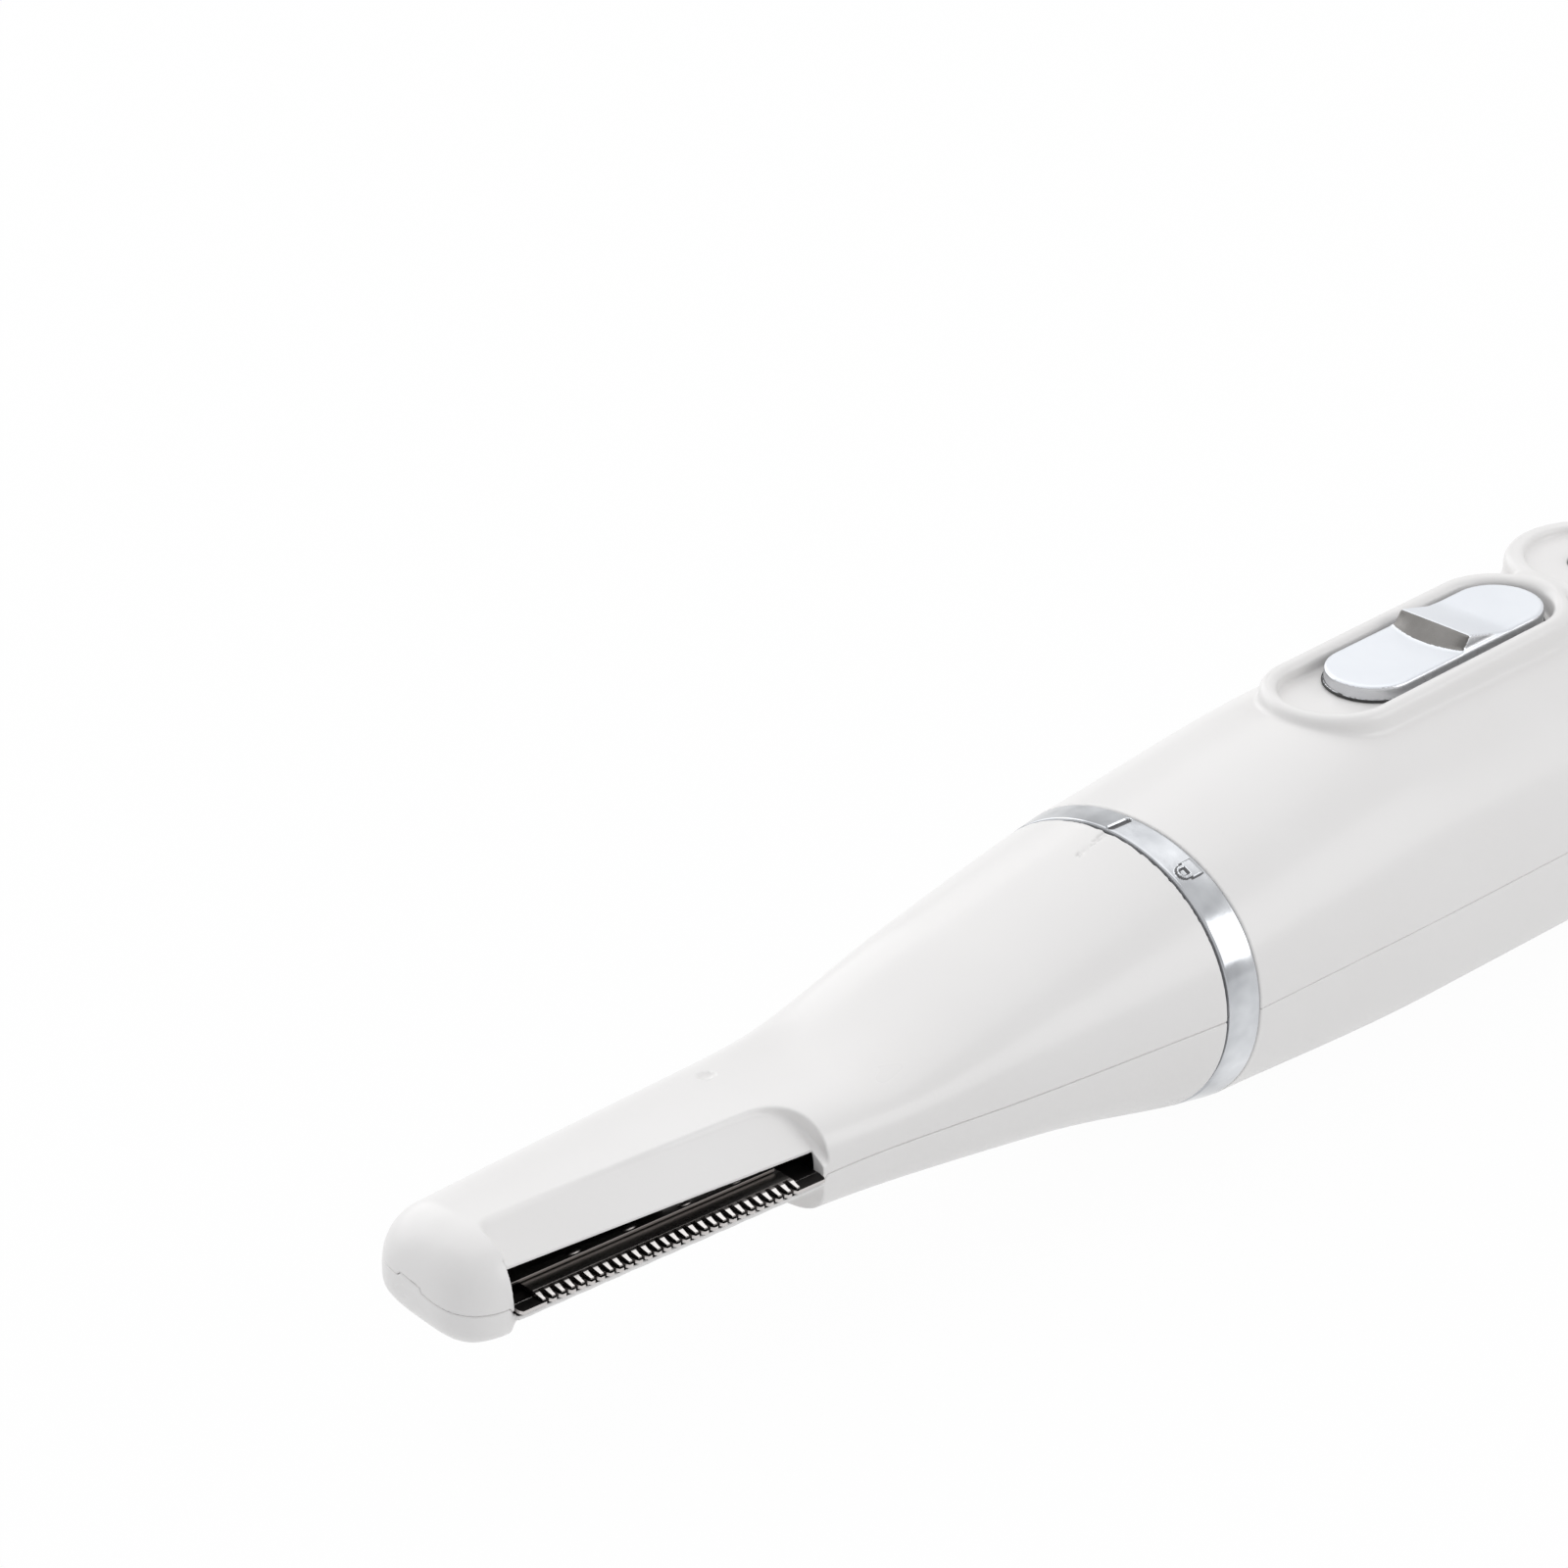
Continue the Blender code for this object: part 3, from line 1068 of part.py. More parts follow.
def commutator_place():
    return core_start() + CORE_LENGTH + RUNNING_GAP + WINDING_LENGTH + SEAT_GAP


def make_rotor():
    start = core_start()

    def rod(name, radius, low, high, material=None, sides=16):
        ends = (low, 0, 0), (high, 0, 0)
        return cylinder(name, radius, *ends, material, rotor_axis, sides, material is None)

    def ring(name, inner, outer, low, high, material=None):
        return turned(name, ring_profile(inner, outer, low, high), material, rotor_axis, 24, material is None)

    def bar(name, half, low, high, turn):
        obj = box(name, (low[0], -half, low[1]), (high[0], half, high[1]), None, rotor_axis, True)
        obj.matrix_basis = turn @ obj.matrix_basis
        return obj

    socket = HUB_START + HUB_LENGTH - HUB_SOCKET_DEPTH
    bore = SHAFT_RADIUS + SHEET_GAP
    rod("motor_shaft", SHAFT_RADIUS, socket + RUNNING_GAP, END_CAP_END - RUNNING_GAP, SPRING_STEEL)
    core = rod("armature_core", CORE_RADIUS, start, start + CORE_LENGTH, LAMINATION, 36)
    cut(core, rod("core_bore", bore, start - FAR, start + FAR))
    front = start - RUNNING_GAP
    rear = start + CORE_LENGTH + RUNNING_GAP
    wide = SHAFT_RADIUS + RUNNING_GAP
    winding = ring("armature_winding", wide, WINDING_RADIUS, front - WINDING_LENGTH, front, COPPER)
    join(winding, ring("rear_end_turns", wide, WINDING_RADIUS, rear, rear + WINDING_LENGTH))
    bottom = CORE_RADIUS - CORE_SLOT_DEPTH
    half = CORE_SLOT_WIDTH / 2
    coil_low = (front - WINDING_LENGTH + RUNNING_GAP, bottom + RUNNING_GAP)
    coil_high = (rear + WINDING_LENGTH - RUNNING_GAP, WINDING_RADIUS - RUNNING_GAP)
    for i in range(CORE_SLOTS):
        turn = Matrix.Rotation(2 * math.pi * (i + 0.5) / CORE_SLOTS, 4, "X")
        cut(core, bar(f"core_slot_{i + 1}", half, (start - FAR, bottom), (start + FAR, FAR), turn))
        join(winding, bar(f"slot_coil_{i + 1}", half - RUNNING_GAP, coil_low, coil_high, turn))
    place = commutator_place()
    ring("commutator", bore, COMMUTATOR_RADIUS, place, place + COMMUTATOR_LENGTH, COPPER)
    hub = rod("eccentric_hub", HUB_RADIUS, HUB_START, HUB_START + HUB_LENGTH, BLACK_NYLON, 28)
    cut(hub, rod("hub_bore", bore, socket, HUB_START + FAR))
    pin_start = HUB_START - ECCENTRIC_PIN_LENGTH
    pin = rod("eccentric_pin", ECCENTRIC_PIN_RADIUS, pin_start, (HUB_START + socket) / 2)
    pin.matrix_basis = Matrix.Translation((0, 0, ECCENTRIC_OFFSET)) @ pin.matrix_basis
    join(hub, pin)


# Battery, frame, board and switch

def make_frame_and_battery():
    shoulder = CELL_START + CELL_NUB_LENGTH
    cell = cylinder("battery_cell", CELL_RADIUS, (shoulder, 0, 0), (CELL_END, 0, 0), CELL_WRAP, sides=32)
    nub_start, nub_end = (CELL_START, 0, 0), (shoulder + CELL_NUB_LENGTH, 0, 0)
    join(cell, cylinder("cell_nub", CELL_NUB_RADIUS, nub_start, nub_end, sides=20, helper=True))
    for name, start, top in (("front_contact", FRONT_CONTACT, BOARD_LOW - RUNNING_GAP),
                             ("rear_contact", REAR_CONTACT, CELL_RADIUS + CONTACT_TAB)):
        box(name, (start, -CONTACT_HALF_WIDTH, -CELL_NUB_RADIUS),
            (start + CONTACT_THICKNESS, CONTACT_HALF_WIDTH, top), SPRING_STEEL)
    inner = box("inner_frame", (FRAME_START, -FRAME_FLOOR_HALF_WIDTH, FRAME_FLOOR_LOW),
                (REAR_BULKHEAD + FRAME_BULKHEAD, FRAME_FLOOR_HALF_WIDTH, FRAME_FLOOR_TOP), GREY_NYLON)
    middle = (FRAME_FLOOR_LOW + FRAME_FLOOR_TOP) / 2

    def bulkhead(label, start, half_width, top, thickness=FRAME_BULKHEAD):
        return box(label, (start, -half_width, middle), (start + thickness, half_width, top), helper=True)

    join(inner, bulkhead("front_bulkhead", FRAME_START, FRAME_HALF_WIDTH, FRAME_HALF_WIDTH))
    join(inner, bulkhead("middle_bulkhead", MIDDLE_BULKHEAD, FRAME_HALF_WIDTH, BOARD_LOW - RUNNING_GAP))
    join(inner, bulkhead("rear_bulkhead", REAR_BULKHEAD, FRAME_FLOOR_HALF_WIDTH, FRAME_HALF_WIDTH))
    for i, place in enumerate(SADDLE_PLACES, 1):
        join(inner, bulkhead(f"saddle_{i}", place, FRAME_HALF_WIDTH, -CELL_RADIUS / 2, SADDLE_THICKNESS))
    room = CELL_RADIUS + SEAT_GAP
    cut(inner, cylinder("cell_space", room, (CELL_START, 0, 0), (REAR_CONTACT, 0, 0), sides=32, helper=True))
    bush_room = BUSH_RADIUS + RUNNING_GAP
    cut(inner, cylinder("bush_space", bush_room, (FRAME_START - FAR, 0, 0), (MOTOR_START, 0, 0), helper=True))


def make_board():
    box("circuit_board", (BOARD_START, -BOARD_HALF_WIDTH, BOARD_LOW),
        (BOARD_START + BOARD_LENGTH, BOARD_HALF_WIDTH, BOARD_TOP), BOARD_GREEN)
    low = BOARD_TOP + SHEET_GAP
    box("charging_chip", (CHIP_START, -CHIP_HALF_WIDTH, low),
        (CHIP_START + CHIP_LENGTH, CHIP_HALF_WIDTH, low + CHIP_HEIGHT), CHIP_BLACK)
    level = low + CAPACITOR_RADIUS
    cylinder("capacitor", CAPACITOR_RADIUS, (CAPACITOR_START, CAPACITOR_SIDE, level),
             (CAPACITOR_START + CAPACITOR_LENGTH, CAPACITOR_SIDE, level), SPRING_STEEL, sides=16)
    cylinder("indicator_led", LED_RADIUS, (BOSS_PLACE, 0, low), (BOSS_PLACE, 0, LENS_LOW - SEAT_GAP), CLEAR)
    lens = cylinder("indicator_lens", LENS_RADIUS, (BOSS_PLACE, 0, LENS_LOW),
                    (BOSS_PLACE, 0, BOSS_FLOOR + SEAT_GAP), CLEAR)
    join(lens, cylinder("lens_flange", LENS_RADIUS + LENS_FLANGE, (BOSS_PLACE, 0, LENS_LOW),
                        (BOSS_PLACE, 0, LENS_LOW + LENS_FLANGE_THICKNESS), helper=True))


def rectangle(start, end, half_width, spare):
    return [(start - spare, -half_width - spare), (end + spare, -half_width - spare),
            (end + spare, half_width + spare), (start - spare, half_width + spare)]


def make_switch():
    """The slide switch on the board, the carriage that moves its knob, and the button above."""
    knob_end = KNOB_START + KNOB_LENGTH
    case = plate("slide_switch_case",
                 rectangle(KNOB_START - SWITCH_TRAVEL, knob_end, SWITCH_CASE_HALF_WIDTH, SWITCH_CASE_WALL),
                 SWITCH_CASE_LOW, SWITCH_CASE_TOP, CAN_STEEL)
    slot = rectangle(KNOB_START - SWITCH_TRAVEL, knob_end, KNOB_HALF_WIDTH, RUNNING_GAP)
    slot_floor = SWITCH_CASE_LOW + SWITCH_CASE_WALL
    cut(case, plate("knob_slot", slot, slot_floor, FAR, helper=True))
    box("slide_switch_knob", (KNOB_START, -KNOB_HALF_WIDTH, slot_floor + RUNNING_GAP),
        (knob_end, KNOB_HALF_WIDTH, CARRIAGE_TOP), BLACK_NYLON, switch_axis)
    stem_end = STEM_START + STEM_LENGTH
    holes = [rectangle(STEM_START, stem_end, STEM_HALF_WIDTH, SHEET_GAP),
             rectangle(KNOB_START, knob_end, KNOB_HALF_WIDTH, SHEET_GAP)]
    outline = rectangle(STEM_START - CARRIAGE_MARGIN, knob_end + CARRIAGE_MARGIN, CARRIAGE_HALF_WIDTH, 0)
    plate("switch_carriage", outline, CARRIAGE_LOW, CARRIAGE_TOP, GREY_NYLON, switch_axis, holes=holes)
    low = RECESS_FLOOR + RUNNING_GAP
    button = plate("switch_button", stadium(BUTTON_START, BUTTON_START + BUTTON_LENGTH, BUTTON_HALF_WIDTH),
                   low, low + BUTTON_THICKNESS, SILVER, switch_axis)
    for vertex in button.data.vertices:
        if vertex.co.z > 0:
            vertex.co.z += BUTTON_RISE * (vertex.co.x - BUTTON_START) / BUTTON_LENGTH
    join(button, box("button_stem", (STEM_START, -STEM_HALF_WIDTH, CARRIAGE_LOW),
                     (stem_end, STEM_HALF_WIDTH, low + BUTTON_THICKNESS / 2), None, switch_axis, True))
    join(button, button_rib(low))


def button_rib(low):
    """The ridge across the button, steep in front, as an outline in (x, z) given a width."""
    start = BUTTON_START + BUTTON_RIB_PLACE
    end = start + BUTTON_RIB_LENGTH
    inside = low + BUTTON_THICKNESS / 2
    base = low + BUTTON_THICKNESS + BUTTON_RISE * BUTTON_RIB_PLACE / BUTTON_LENGTH
    peak = (start + BUTTON_RIB_FRONT, base + BUTTON_RIB_HEIGHT)
    outline = [(start, inside), (end, inside), (end, base), peak, (start, base)]
    half = BUTTON_HALF_WIDTH - BUTTON_RIB_INSET
    return plate("button_rib", outline, -half, half, None, switch_axis, UPRIGHT, True)


# Charging socket and leads

def make_charging_socket():
    half = JACK_HALF_WIDTH
    socket = box("charging_socket", (JACK_START, -half, -half), (JACK_END, half, half), BLACK_NYLON)
    bore_end = JACK_START + JACK_BACK
    mouth = JACK_END + FAR
    cut(socket, cylinder("jack_bore", JACK_RADIUS, (bore_end, 0, 0), (mouth, 0, 0), sides=20, helper=True))
    cylinder("charging_pin", JACK_PIN_RADIUS, (bore_end + SEAT_GAP, 0, 0), (JACK_END - JACK_PIN_SINK, 0, 0),
             SPRING_STEEL, sides=12)


def smooth(points, count=3):
    """Points along a smooth curve through these, the same number in each stretch."""
    points = [Vector(point) for point in points]
    ways = [(b - a).normalized() for a, b in zip([points[0], *points], [*points[1:], points[-1]])]
    route = []
    for start, end, out, into in zip(points, points[1:], ways, ways[1:]):
        reach = (end - start).length
        for i in range(count):
            t = i / count
            route.append(start * (1 + 2 * t) * (1 - t) ** 2 + end * t * t * (3 - 2 * t)
                         + reach * (out * t * (1 - t) ** 2 - into * t * t * (1 - t)))
    return [*route, points[-1]]


def make_leads():
    """Leads along their routes, between the pieces that they join."""
    board_end = BOARD_START + BOARD_LENGTH + SEAT_GAP
    board_middle = (BOARD_LOW + BOARD_TOP) / 2
    lead_level = CELL_RADIUS + SEAT_GAP + LEAD_RADIUS
    motor_end = END_CAP_END + TERMINAL_LENGTH + SEAT_GAP
    bend = FRONT_CONTACT + CONTACT_THICKNESS + SEAT_GAP
    jack_top = JACK_HALF_WIDTH + SEAT_GAP
    jack_end = JACK_START + LEAD_STEP

    def to_board(side):
        return [
            (board_end + LEAD_BEND, side, lead_level + LEAD_LIFT),
            (board_end + LEAD_STEP, side, board_middle),
            (board_end, side, board_middle),
        ]

    for side, label, material in ((-1, "red", RED_LEAD), (1, "black", BLACK_LEAD)):
        wire(f"motor_lead_{label}", smooth([
            (motor_end, side * TERMINAL_SIDE, 0),
            (motor_end + LEAD_STEP / 2, side * TERMINAL_SIDE, LEAD_LIFT),
            ((motor_end + bend) / 2, side * TERMINAL_SIDE, BOARD_LOW / 3),
            (bend, side * (TERMINAL_SIDE + MOTOR_LEAD_SIDE) / 2, BOARD_LOW * 2 / 3),
            (bend, side * MOTOR_LEAD_SIDE, BOARD_LOW - SEAT_GAP - LEAD_STEP / 2),
            (bend, side * MOTOR_LEAD_SIDE, BOARD_LOW - SEAT_GAP),
        ]), LEAD_RADIUS, material)
        start, reach = side * CHARGING_LEAD_START_SIDE, side * CHARGING_LEAD_SIDE
        wire(f"charging_lead_{label}", smooth([
            (jack_end, start, jack_top),
            (jack_end, (3 * start + reach) / 4, (jack_top + lead_level) / 2),
            (JACK_START, reach, lead_level - LEAD_LIFT),
            (REAR_CONTACT, reach, lead_level),
            (REAR_CONTACT - LEAD_BEND, reach, lead_level),
            *to_board(reach),
        ]), LEAD_RADIUS, material)
    wire("battery_lead_red", smooth([
        (REAR_CONTACT - SEAT_GAP, 0, lead_level),
        (REAR_CONTACT - LEAD_BEND, 0, lead_level),
        *to_board(0),
    ]), LEAD_RADIUS, RED_LEAD)


def main():
    below = box("below_parting", (-FAR * 2, -FAR, -FAR), (FAR * 3, FAR, PARTING_GAP / 2), helper=True)
    above = box("above_parting", (-FAR * 2, -FAR, -PARTING_GAP / 2), (FAR * 3, FAR, FAR), helper=True)
    lower = make_head_shells(below, above)
    make_sleeve()
    make_blades(lower)
    make_cutter()
    make_lever()
    make_ring_and_socket()
    make_handle_shells(below, above)
    make_motor()
    make_rotor()
    make_frame_and_battery()
    make_board()
    make_switch()
    make_charging_socket()
    make_leads()


main()
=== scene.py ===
"""Looks of a cordless eyebrow trimmer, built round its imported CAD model.

Shapes are worked out in millimetres from the drive axis, where X is 0 at the seam between the head and the
ring and the blade cuts towards -Y. They are moved into the frame when a mesh is made.
"""

import json
import math

import bmesh
import bpy
import numpy as np
from mathutils import Matrix, Vector

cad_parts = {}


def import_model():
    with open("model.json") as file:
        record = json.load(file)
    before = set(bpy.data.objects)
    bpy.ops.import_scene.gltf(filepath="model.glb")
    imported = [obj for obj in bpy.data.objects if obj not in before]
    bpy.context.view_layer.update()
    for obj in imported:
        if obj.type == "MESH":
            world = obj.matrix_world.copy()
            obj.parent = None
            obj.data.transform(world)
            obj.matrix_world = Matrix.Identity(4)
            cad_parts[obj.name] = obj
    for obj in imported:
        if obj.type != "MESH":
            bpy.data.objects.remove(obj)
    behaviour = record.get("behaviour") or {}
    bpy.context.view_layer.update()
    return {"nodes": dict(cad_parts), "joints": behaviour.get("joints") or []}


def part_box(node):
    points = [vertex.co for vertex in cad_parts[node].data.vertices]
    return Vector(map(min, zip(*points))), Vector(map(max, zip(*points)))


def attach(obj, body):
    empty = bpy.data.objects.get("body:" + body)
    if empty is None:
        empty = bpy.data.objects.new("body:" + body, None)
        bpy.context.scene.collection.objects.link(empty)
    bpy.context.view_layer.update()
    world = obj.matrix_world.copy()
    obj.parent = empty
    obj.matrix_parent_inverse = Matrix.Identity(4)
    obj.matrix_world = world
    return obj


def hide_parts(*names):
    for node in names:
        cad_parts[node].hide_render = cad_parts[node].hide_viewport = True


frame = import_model()
NODES = frame["nodes"]
AXIS = 1000 * np.array(next(j["pos_m"] for j in frame["joints"] if j["name"] == "head_twist"))
FINE = 1.0  # cells are this much larger while trying things

# Head casing, by distance from the seam
HEAD_TIP = -64.8
HEAD_PLACES = (HEAD_TIP, -37.0, -30.0, -14.0, 0.0)
HEAD_NEAR_WIDTHS = (4.8, 7.1, 7.7, 10.1, 12.0)
HEAD_FAR_WIDTHS = (6.6, 7.15, 7.7, 10.1, 12.0)
HEAD_TOPS = (4.95, 4.35, 4.15, 7.5, 10.75)
HEAD_BOTTOMS = (2.2, 3.45, 4.1, 6.8, 10.75)
HEAD_SQUARENESS = (2.5, 3.1, 3.0, 2.4, 2.0)  # over the seam
HEAD_LOW_SQUARENESS = (3.2, 3.1, 3.0, 2.3, 2.0)
TIP_SLANT = 0.10  # the end face turns with the blade line
TIP_SLANT_SIDE = -4.0  # round this Y
TIP_RADII = (3.5, 4.0, 1.9)  # at the sides, the top and the bottom
HEAD_WALL = 1.1
SEAM_GAP = 0.004  # half of the gap between two casing halves
HANDLE_GAP = 0.003  # the same on the handle
SEAM_EDGE = 0.18  # how far their edges are eased
SEAM_PLACES = (-65.1, -61.3, -60.9, 0.0)
SEAM_RISES = (0.5, 0.5, 0.0, 0.0)
CONE_SEAM_PLACES = (-35.2, -34.8, -18.0, 0.0)
CONE_SEAM_RISES = (0.0, 0.3, 0.0, 0.0)  # on the blade side
HEAD_END = -0.2
SLEEVE_ROOM = 7.42  # radius round the bayonet sleeve
FLANGE_ROOM = (8.92, -2.9, -0.85)  # round its flange: radius, start, end
SOCKET_ROOM = (9.1, 4.6)  # in the handle's front end: radius, end
SEAM_TAB = (0.1, 2.5)  # across, where a tab of the lower half stands up at the tip
SEAM_TAB_HEIGHT = 0.3
SEAM_TAB_LENGTH = 4
SEAM_TAB_EDGE = 0.3  # width over which its sides rise
SEAM_TILT = (0.16, -4.0, 6.0)  # growth of the rise at the tip: per mm across, from, over
DOT = (-36.0, 3.2, 4.85)  # round dimple on top
DOT_RADIUS = 0.95
GROOVE = (-1.75, -0.3)  # short groove on top, before the ring
GROOVE_HALF_LENGTH = 1.35
GROOVE_RADIUS = 0.16
PAINTED_SHADE_END = -33  # faces round the blades are painted black as shade up to here

# Blade line, window and facet
LEAN = math.radians(4.4)
BLADE_START = (-61.0, -5.6)
WINDOW_LENGTH = 25.8
FACET_INSET = 1.6
FACET_START, FACET_END = 0.2, 26.3
FACET_INNER = 4.9
FACET_LEVEL = 2.95
FACET_FALL = 0.043  # towards the handle
FACET_SLOPE = 0.62
FACET_CORNERS = (3.6, 1.6)  # radii at the handle end and at the tip end
FACET_WALL = 0.8  # thickness of the casing beside the facet
LIP = 0.3  # and under it
BLADE_ROOM = 4.4  # how far in the space under the lip goes
UNDERCUT = (0.1, -0.15, 0.75)  # inset and level where the underside's slope starts, and its steepness
LEDGE = (0.15, 2.15)  # inset of the ledge that the comb lies on
LEDGE_HEIGHTS = (-0.35, 0.15)

# Blades
TOOTH_GAPS = 27
TOOTH_PITCH = 0.79
TOOTH_DEPTH = 1.0
TOOTH_GAP = 0.4
FIRST_GAP = 2.2
END_TOOTH = 0.36
SHOULDER = 0.3  # length of a tooth before it tapers
BLADE_EDGE = 0.015  # bevel
SPRING_BAR = (0.3, 23.2, 2.25, 2.97)  # start, end, inset of both sides
SPRING_TAB = (0.3, 2.9, 2.25, 7.2)
SPRING_HEIGHTS = (0.85, 1.1)
SPRING_DIMPLES = (6.5, 11.1, 15.8, 20.1)

# Ring and handle
RING = (0.0, 2.68)
RING_BORE = 7.57
BAR_ANGLE = 90.5
BAR = (1.25, 0.85, 0.28)  # middle, half length and half width of the mark that is cut in
BAR_DEPTH = 0.25
LOCK_ANGLE = 124.5
LOCK_BODY = (1.8, 0.5, 0.68)  # middle, half length and half width of the sign that stands up
LOCK_BOW = (1.0, 0.42, 0.12, 1.4)  # middle, radius, half thickness, end
LOCK_HEIGHT = 0.18
HANDLE_PLACES = (2.75, 26.0, 60.0, 92.6, 100.6)
HANDLE_HALF_WIDTHS = (12.4, 12.75, 12.75, 11.75, 10.75)
HANDLE_TOPS = (10.65, 13.0, 13.0, 12.0, 11.0)
HANDLE_BOTTOMS = (11.0, 12.35, 12.35, 11.35, 10.35)
HANDLE_SQUARENESS = 2.1
HANDLE_WALL = 1.3
TAIL_ROUNDING = 4.2
BELLY = -11.75
RECESS = (20.25, 47.0, 4.1)  # stadium round the switch: start, end, half width
BEAD_RADIUS = 0.7
BEAD_TOP = 13.8
BEAD_RISE = 0.022  # of its top, per mm from BEAD_PLACE
BEAD_PLACE = 35
UPPER_LEVEL = 9  # bead, boss and slot reach down to here, inside the wall
SWITCH_SLOT = (26.8, 33.2, -1.2, 1.2)
RECESS_FLOOR = 12.35
RECESS_CEILING = 11.45
BOSS = (54.5, 6.9, 5.3)  # middle, outer radius, dish radius
BOSS_TOP = 14.1
BOSS_FLOOR = 13.4
LENS_RADIUS = 2.0
LENS_GAP = 0.06
INLET = (1.85, 95.0)  # hole of the charging inlet: radius, start

# Screws from below, one on each side: place and distance from the middle
HEAD_SCREWS = (-16.5, 5.6)
HANDLE_SCREWS = (66.0, 9.3)
SCREW_POST_RADIUS = 1.9
SCREW_HOLE_RADIUS = 1.4
SCREW_HOLE_RISE = 1.2  # from a screw's lowest point to the end of its hole
HEAD_SCREW_TOP = 1000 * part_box("head_screw_near")[0].z - AXIS[2] + SCREW_HOLE_RISE
HANDLE_SCREW_TOP = 1000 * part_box("handle_screw_near")[0].z - AXIS[2] + SCREW_HOLE_RISE

# Button
BUTTON = (25.0, 46.3, 3.52)
BUTTON_LOW = 12.45
BUTTON_TOPS = (13.6, 13.95)
RIB_FOOT = 34.8
RIB_PEAK = (35.9, 0.95)
RIB_END = 39.4
RIB_BOW = 0.8
RIB_HALF_WIDTH = 3.3
RIB_LEAN = 0.75
SHADOW_SKIRT = (0.16, 0.04, 0.12)  # black foot that paints the shadow round the button: how far it goes out, down and up
STEM = (31, 33, -1, 1)
STEM_HEIGHTS = (11.1, 13)

# Camera: azimuth, elevation and roll in degrees, then its distance and shift in millimetres
CAMERA_ANGLES = (-44.466, 26.816, -0.373)
CAMERA_PLACE = (416.581, -22.62, 12.707)


# Shapes as signed distances

def follow(knots, values, x):
    """A smooth curve through the knots that never swings past them."""
    knots, values = np.array(knots), np.array(values, float)
    steps = np.diff(knots)
    slopes = np.diff(values) / steps
    product = slopes[:-1] * slopes[1:]
    total = slopes[:-1] + slopes[1:]
    middle = np.where(product > 0, 2 * product / np.where(product > 0, total, 1), 0)
    ends = np.concatenate(([slopes[0]], middle, [slopes[-1]]))
    i = np.clip(np.searchsorted(knots, x, side="right") - 1, 0, len(steps) - 1)
    t = np.clip((x - knots[i]) / steps[i], 0, 1)
    return (values[i] * (1 + 2 * t) * (1 - t) ** 2 + values[i + 1] * t * t * (3 - 2 * t)
            + steps[i] * (ends[i] * t * (1 - t) ** 2 - ends[i + 1] * t * t * (1 - t)))


def rounding(distance, radius):
    inside = np.clip(radius - np.maximum(distance, 0), 0, None)
    return radius - np.sqrt(np.maximum(radius**2 - inside**2, 0))


def tube(y, z, half, top, bottom, power):
    """Distance from a section that is a squared oval, with its own height above and below the middle."""
    height = np.where(z > 0, top, bottom)
    a = np.abs(y) / half + 1e-6
    b = np.abs(z) / height + 1e-6
    size = (a**power + b**power) ** (1 / power)
    slope = size ** (1 - power) * np.hypot(a ** (power - 1) / half, b ** (power - 1) / height)
    return (size - 1) / slope


def both(a, b, blend=0.0):
    """What two shapes share, with its edges rounded."""
    if not blend:
        return np.maximum(a, b)
    h = np.maximum(blend - np.abs(a - b), 0) / blend
    return np.maximum(a, b) + h * h * blend / 4


def either(a, b, blend=0.0):
    return -both(-a, -b, blend)


def less(a, b, blend=0.0):
    return both(a, -b, blend)


def stadium(x, y, shape):
    start, end, half = shape
    over = np.maximum(np.maximum(start + half - x, x - end + half), 0)
    return np.hypot(over, y) - half


def rectangle(x, y, sides):
    start, end, low, high = sides
    return np.maximum(np.maximum(start - x, x - end), np.maximum(low - y, y - high))


def disc(x, y, centre, radius):
    return np.hypot(x - centre[0], y - centre[1]) - radius


def blade_line(x, y):
    """Distance along the blade line and inwards from the tooth tips."""
    dx, dy = x - BLADE_START[0], y - BLADE_START[1]
    return dx * math.cos(LEAN) - dy * math.sin(LEAN), dx * math.sin(LEAN) + dy * math.cos(LEAN)


def on_blade_line(u, v):
    """From distances along and in from the tooth tips to X and Y."""
    return (BLADE_START[0] + u * math.cos(LEAN) + v * math.sin(LEAN),
            BLADE_START[1] - u * math.sin(LEAN) + v * math.cos(LEAN))


def facet_level(u, v):
    return FACET_LEVEL - FACET_FALL * u + FACET_SLOPE * (v - FACET_INSET)


def facet(x, y, z, spare, drop):
    """The space over the slanted facet."""
    u, v = blade_line(x, y)
    above = (facet_level(u, v) - drop - z) / math.hypot(1, FACET_SLOPE)
    inner = v - FACET_INNER - spare
    outline = both(u - FACET_END - spare, inner, FACET_CORNERS[0])
    outline = both(outline, FACET_START - spare - u, FACET_CORNERS[1])
    return both(outline, above, 0.3)


def undercut(x, y, z, spare):
    """The space under the slanted underside, up to the blade's lip."""
    u, v = blade_line(x, y)
    start, low, steep = UNDERCUT
    slope = (z - low + steep * (v - start)) / math.hypot(1, steep)
    space = np.minimum(v - start, slope) - spare
    return both(both(-u - spare, u - WINDOW_LENGTH - spare, 0.3), space, 0.5)


def head_at(values, x):
    return follow(HEAD_PLACES, values, x)


def head_outer(x, y, z):
    past = x - HEAD_TIP - TIP_SLANT * (y - TIP_SLANT_SIDE)
    side, top, bottom = (rounding(past, radius) for radius in TIP_RADII)
    power = np.where(z > 0, head_at(HEAD_SQUARENESS, x), head_at(HEAD_LOW_SQUARENESS, x))
    half = np.where(y < 0, head_at(HEAD_NEAR_WIDTHS, x), head_at(HEAD_FAR_WIDTHS, x))
    skin = tube(y, z, half - side, head_at(HEAD_TOPS, x) - top, head_at(HEAD_BOTTOMS, x) - bottom, power)
    return both(both(skin, -past, 0.4), x - HEAD_END, 0.2)


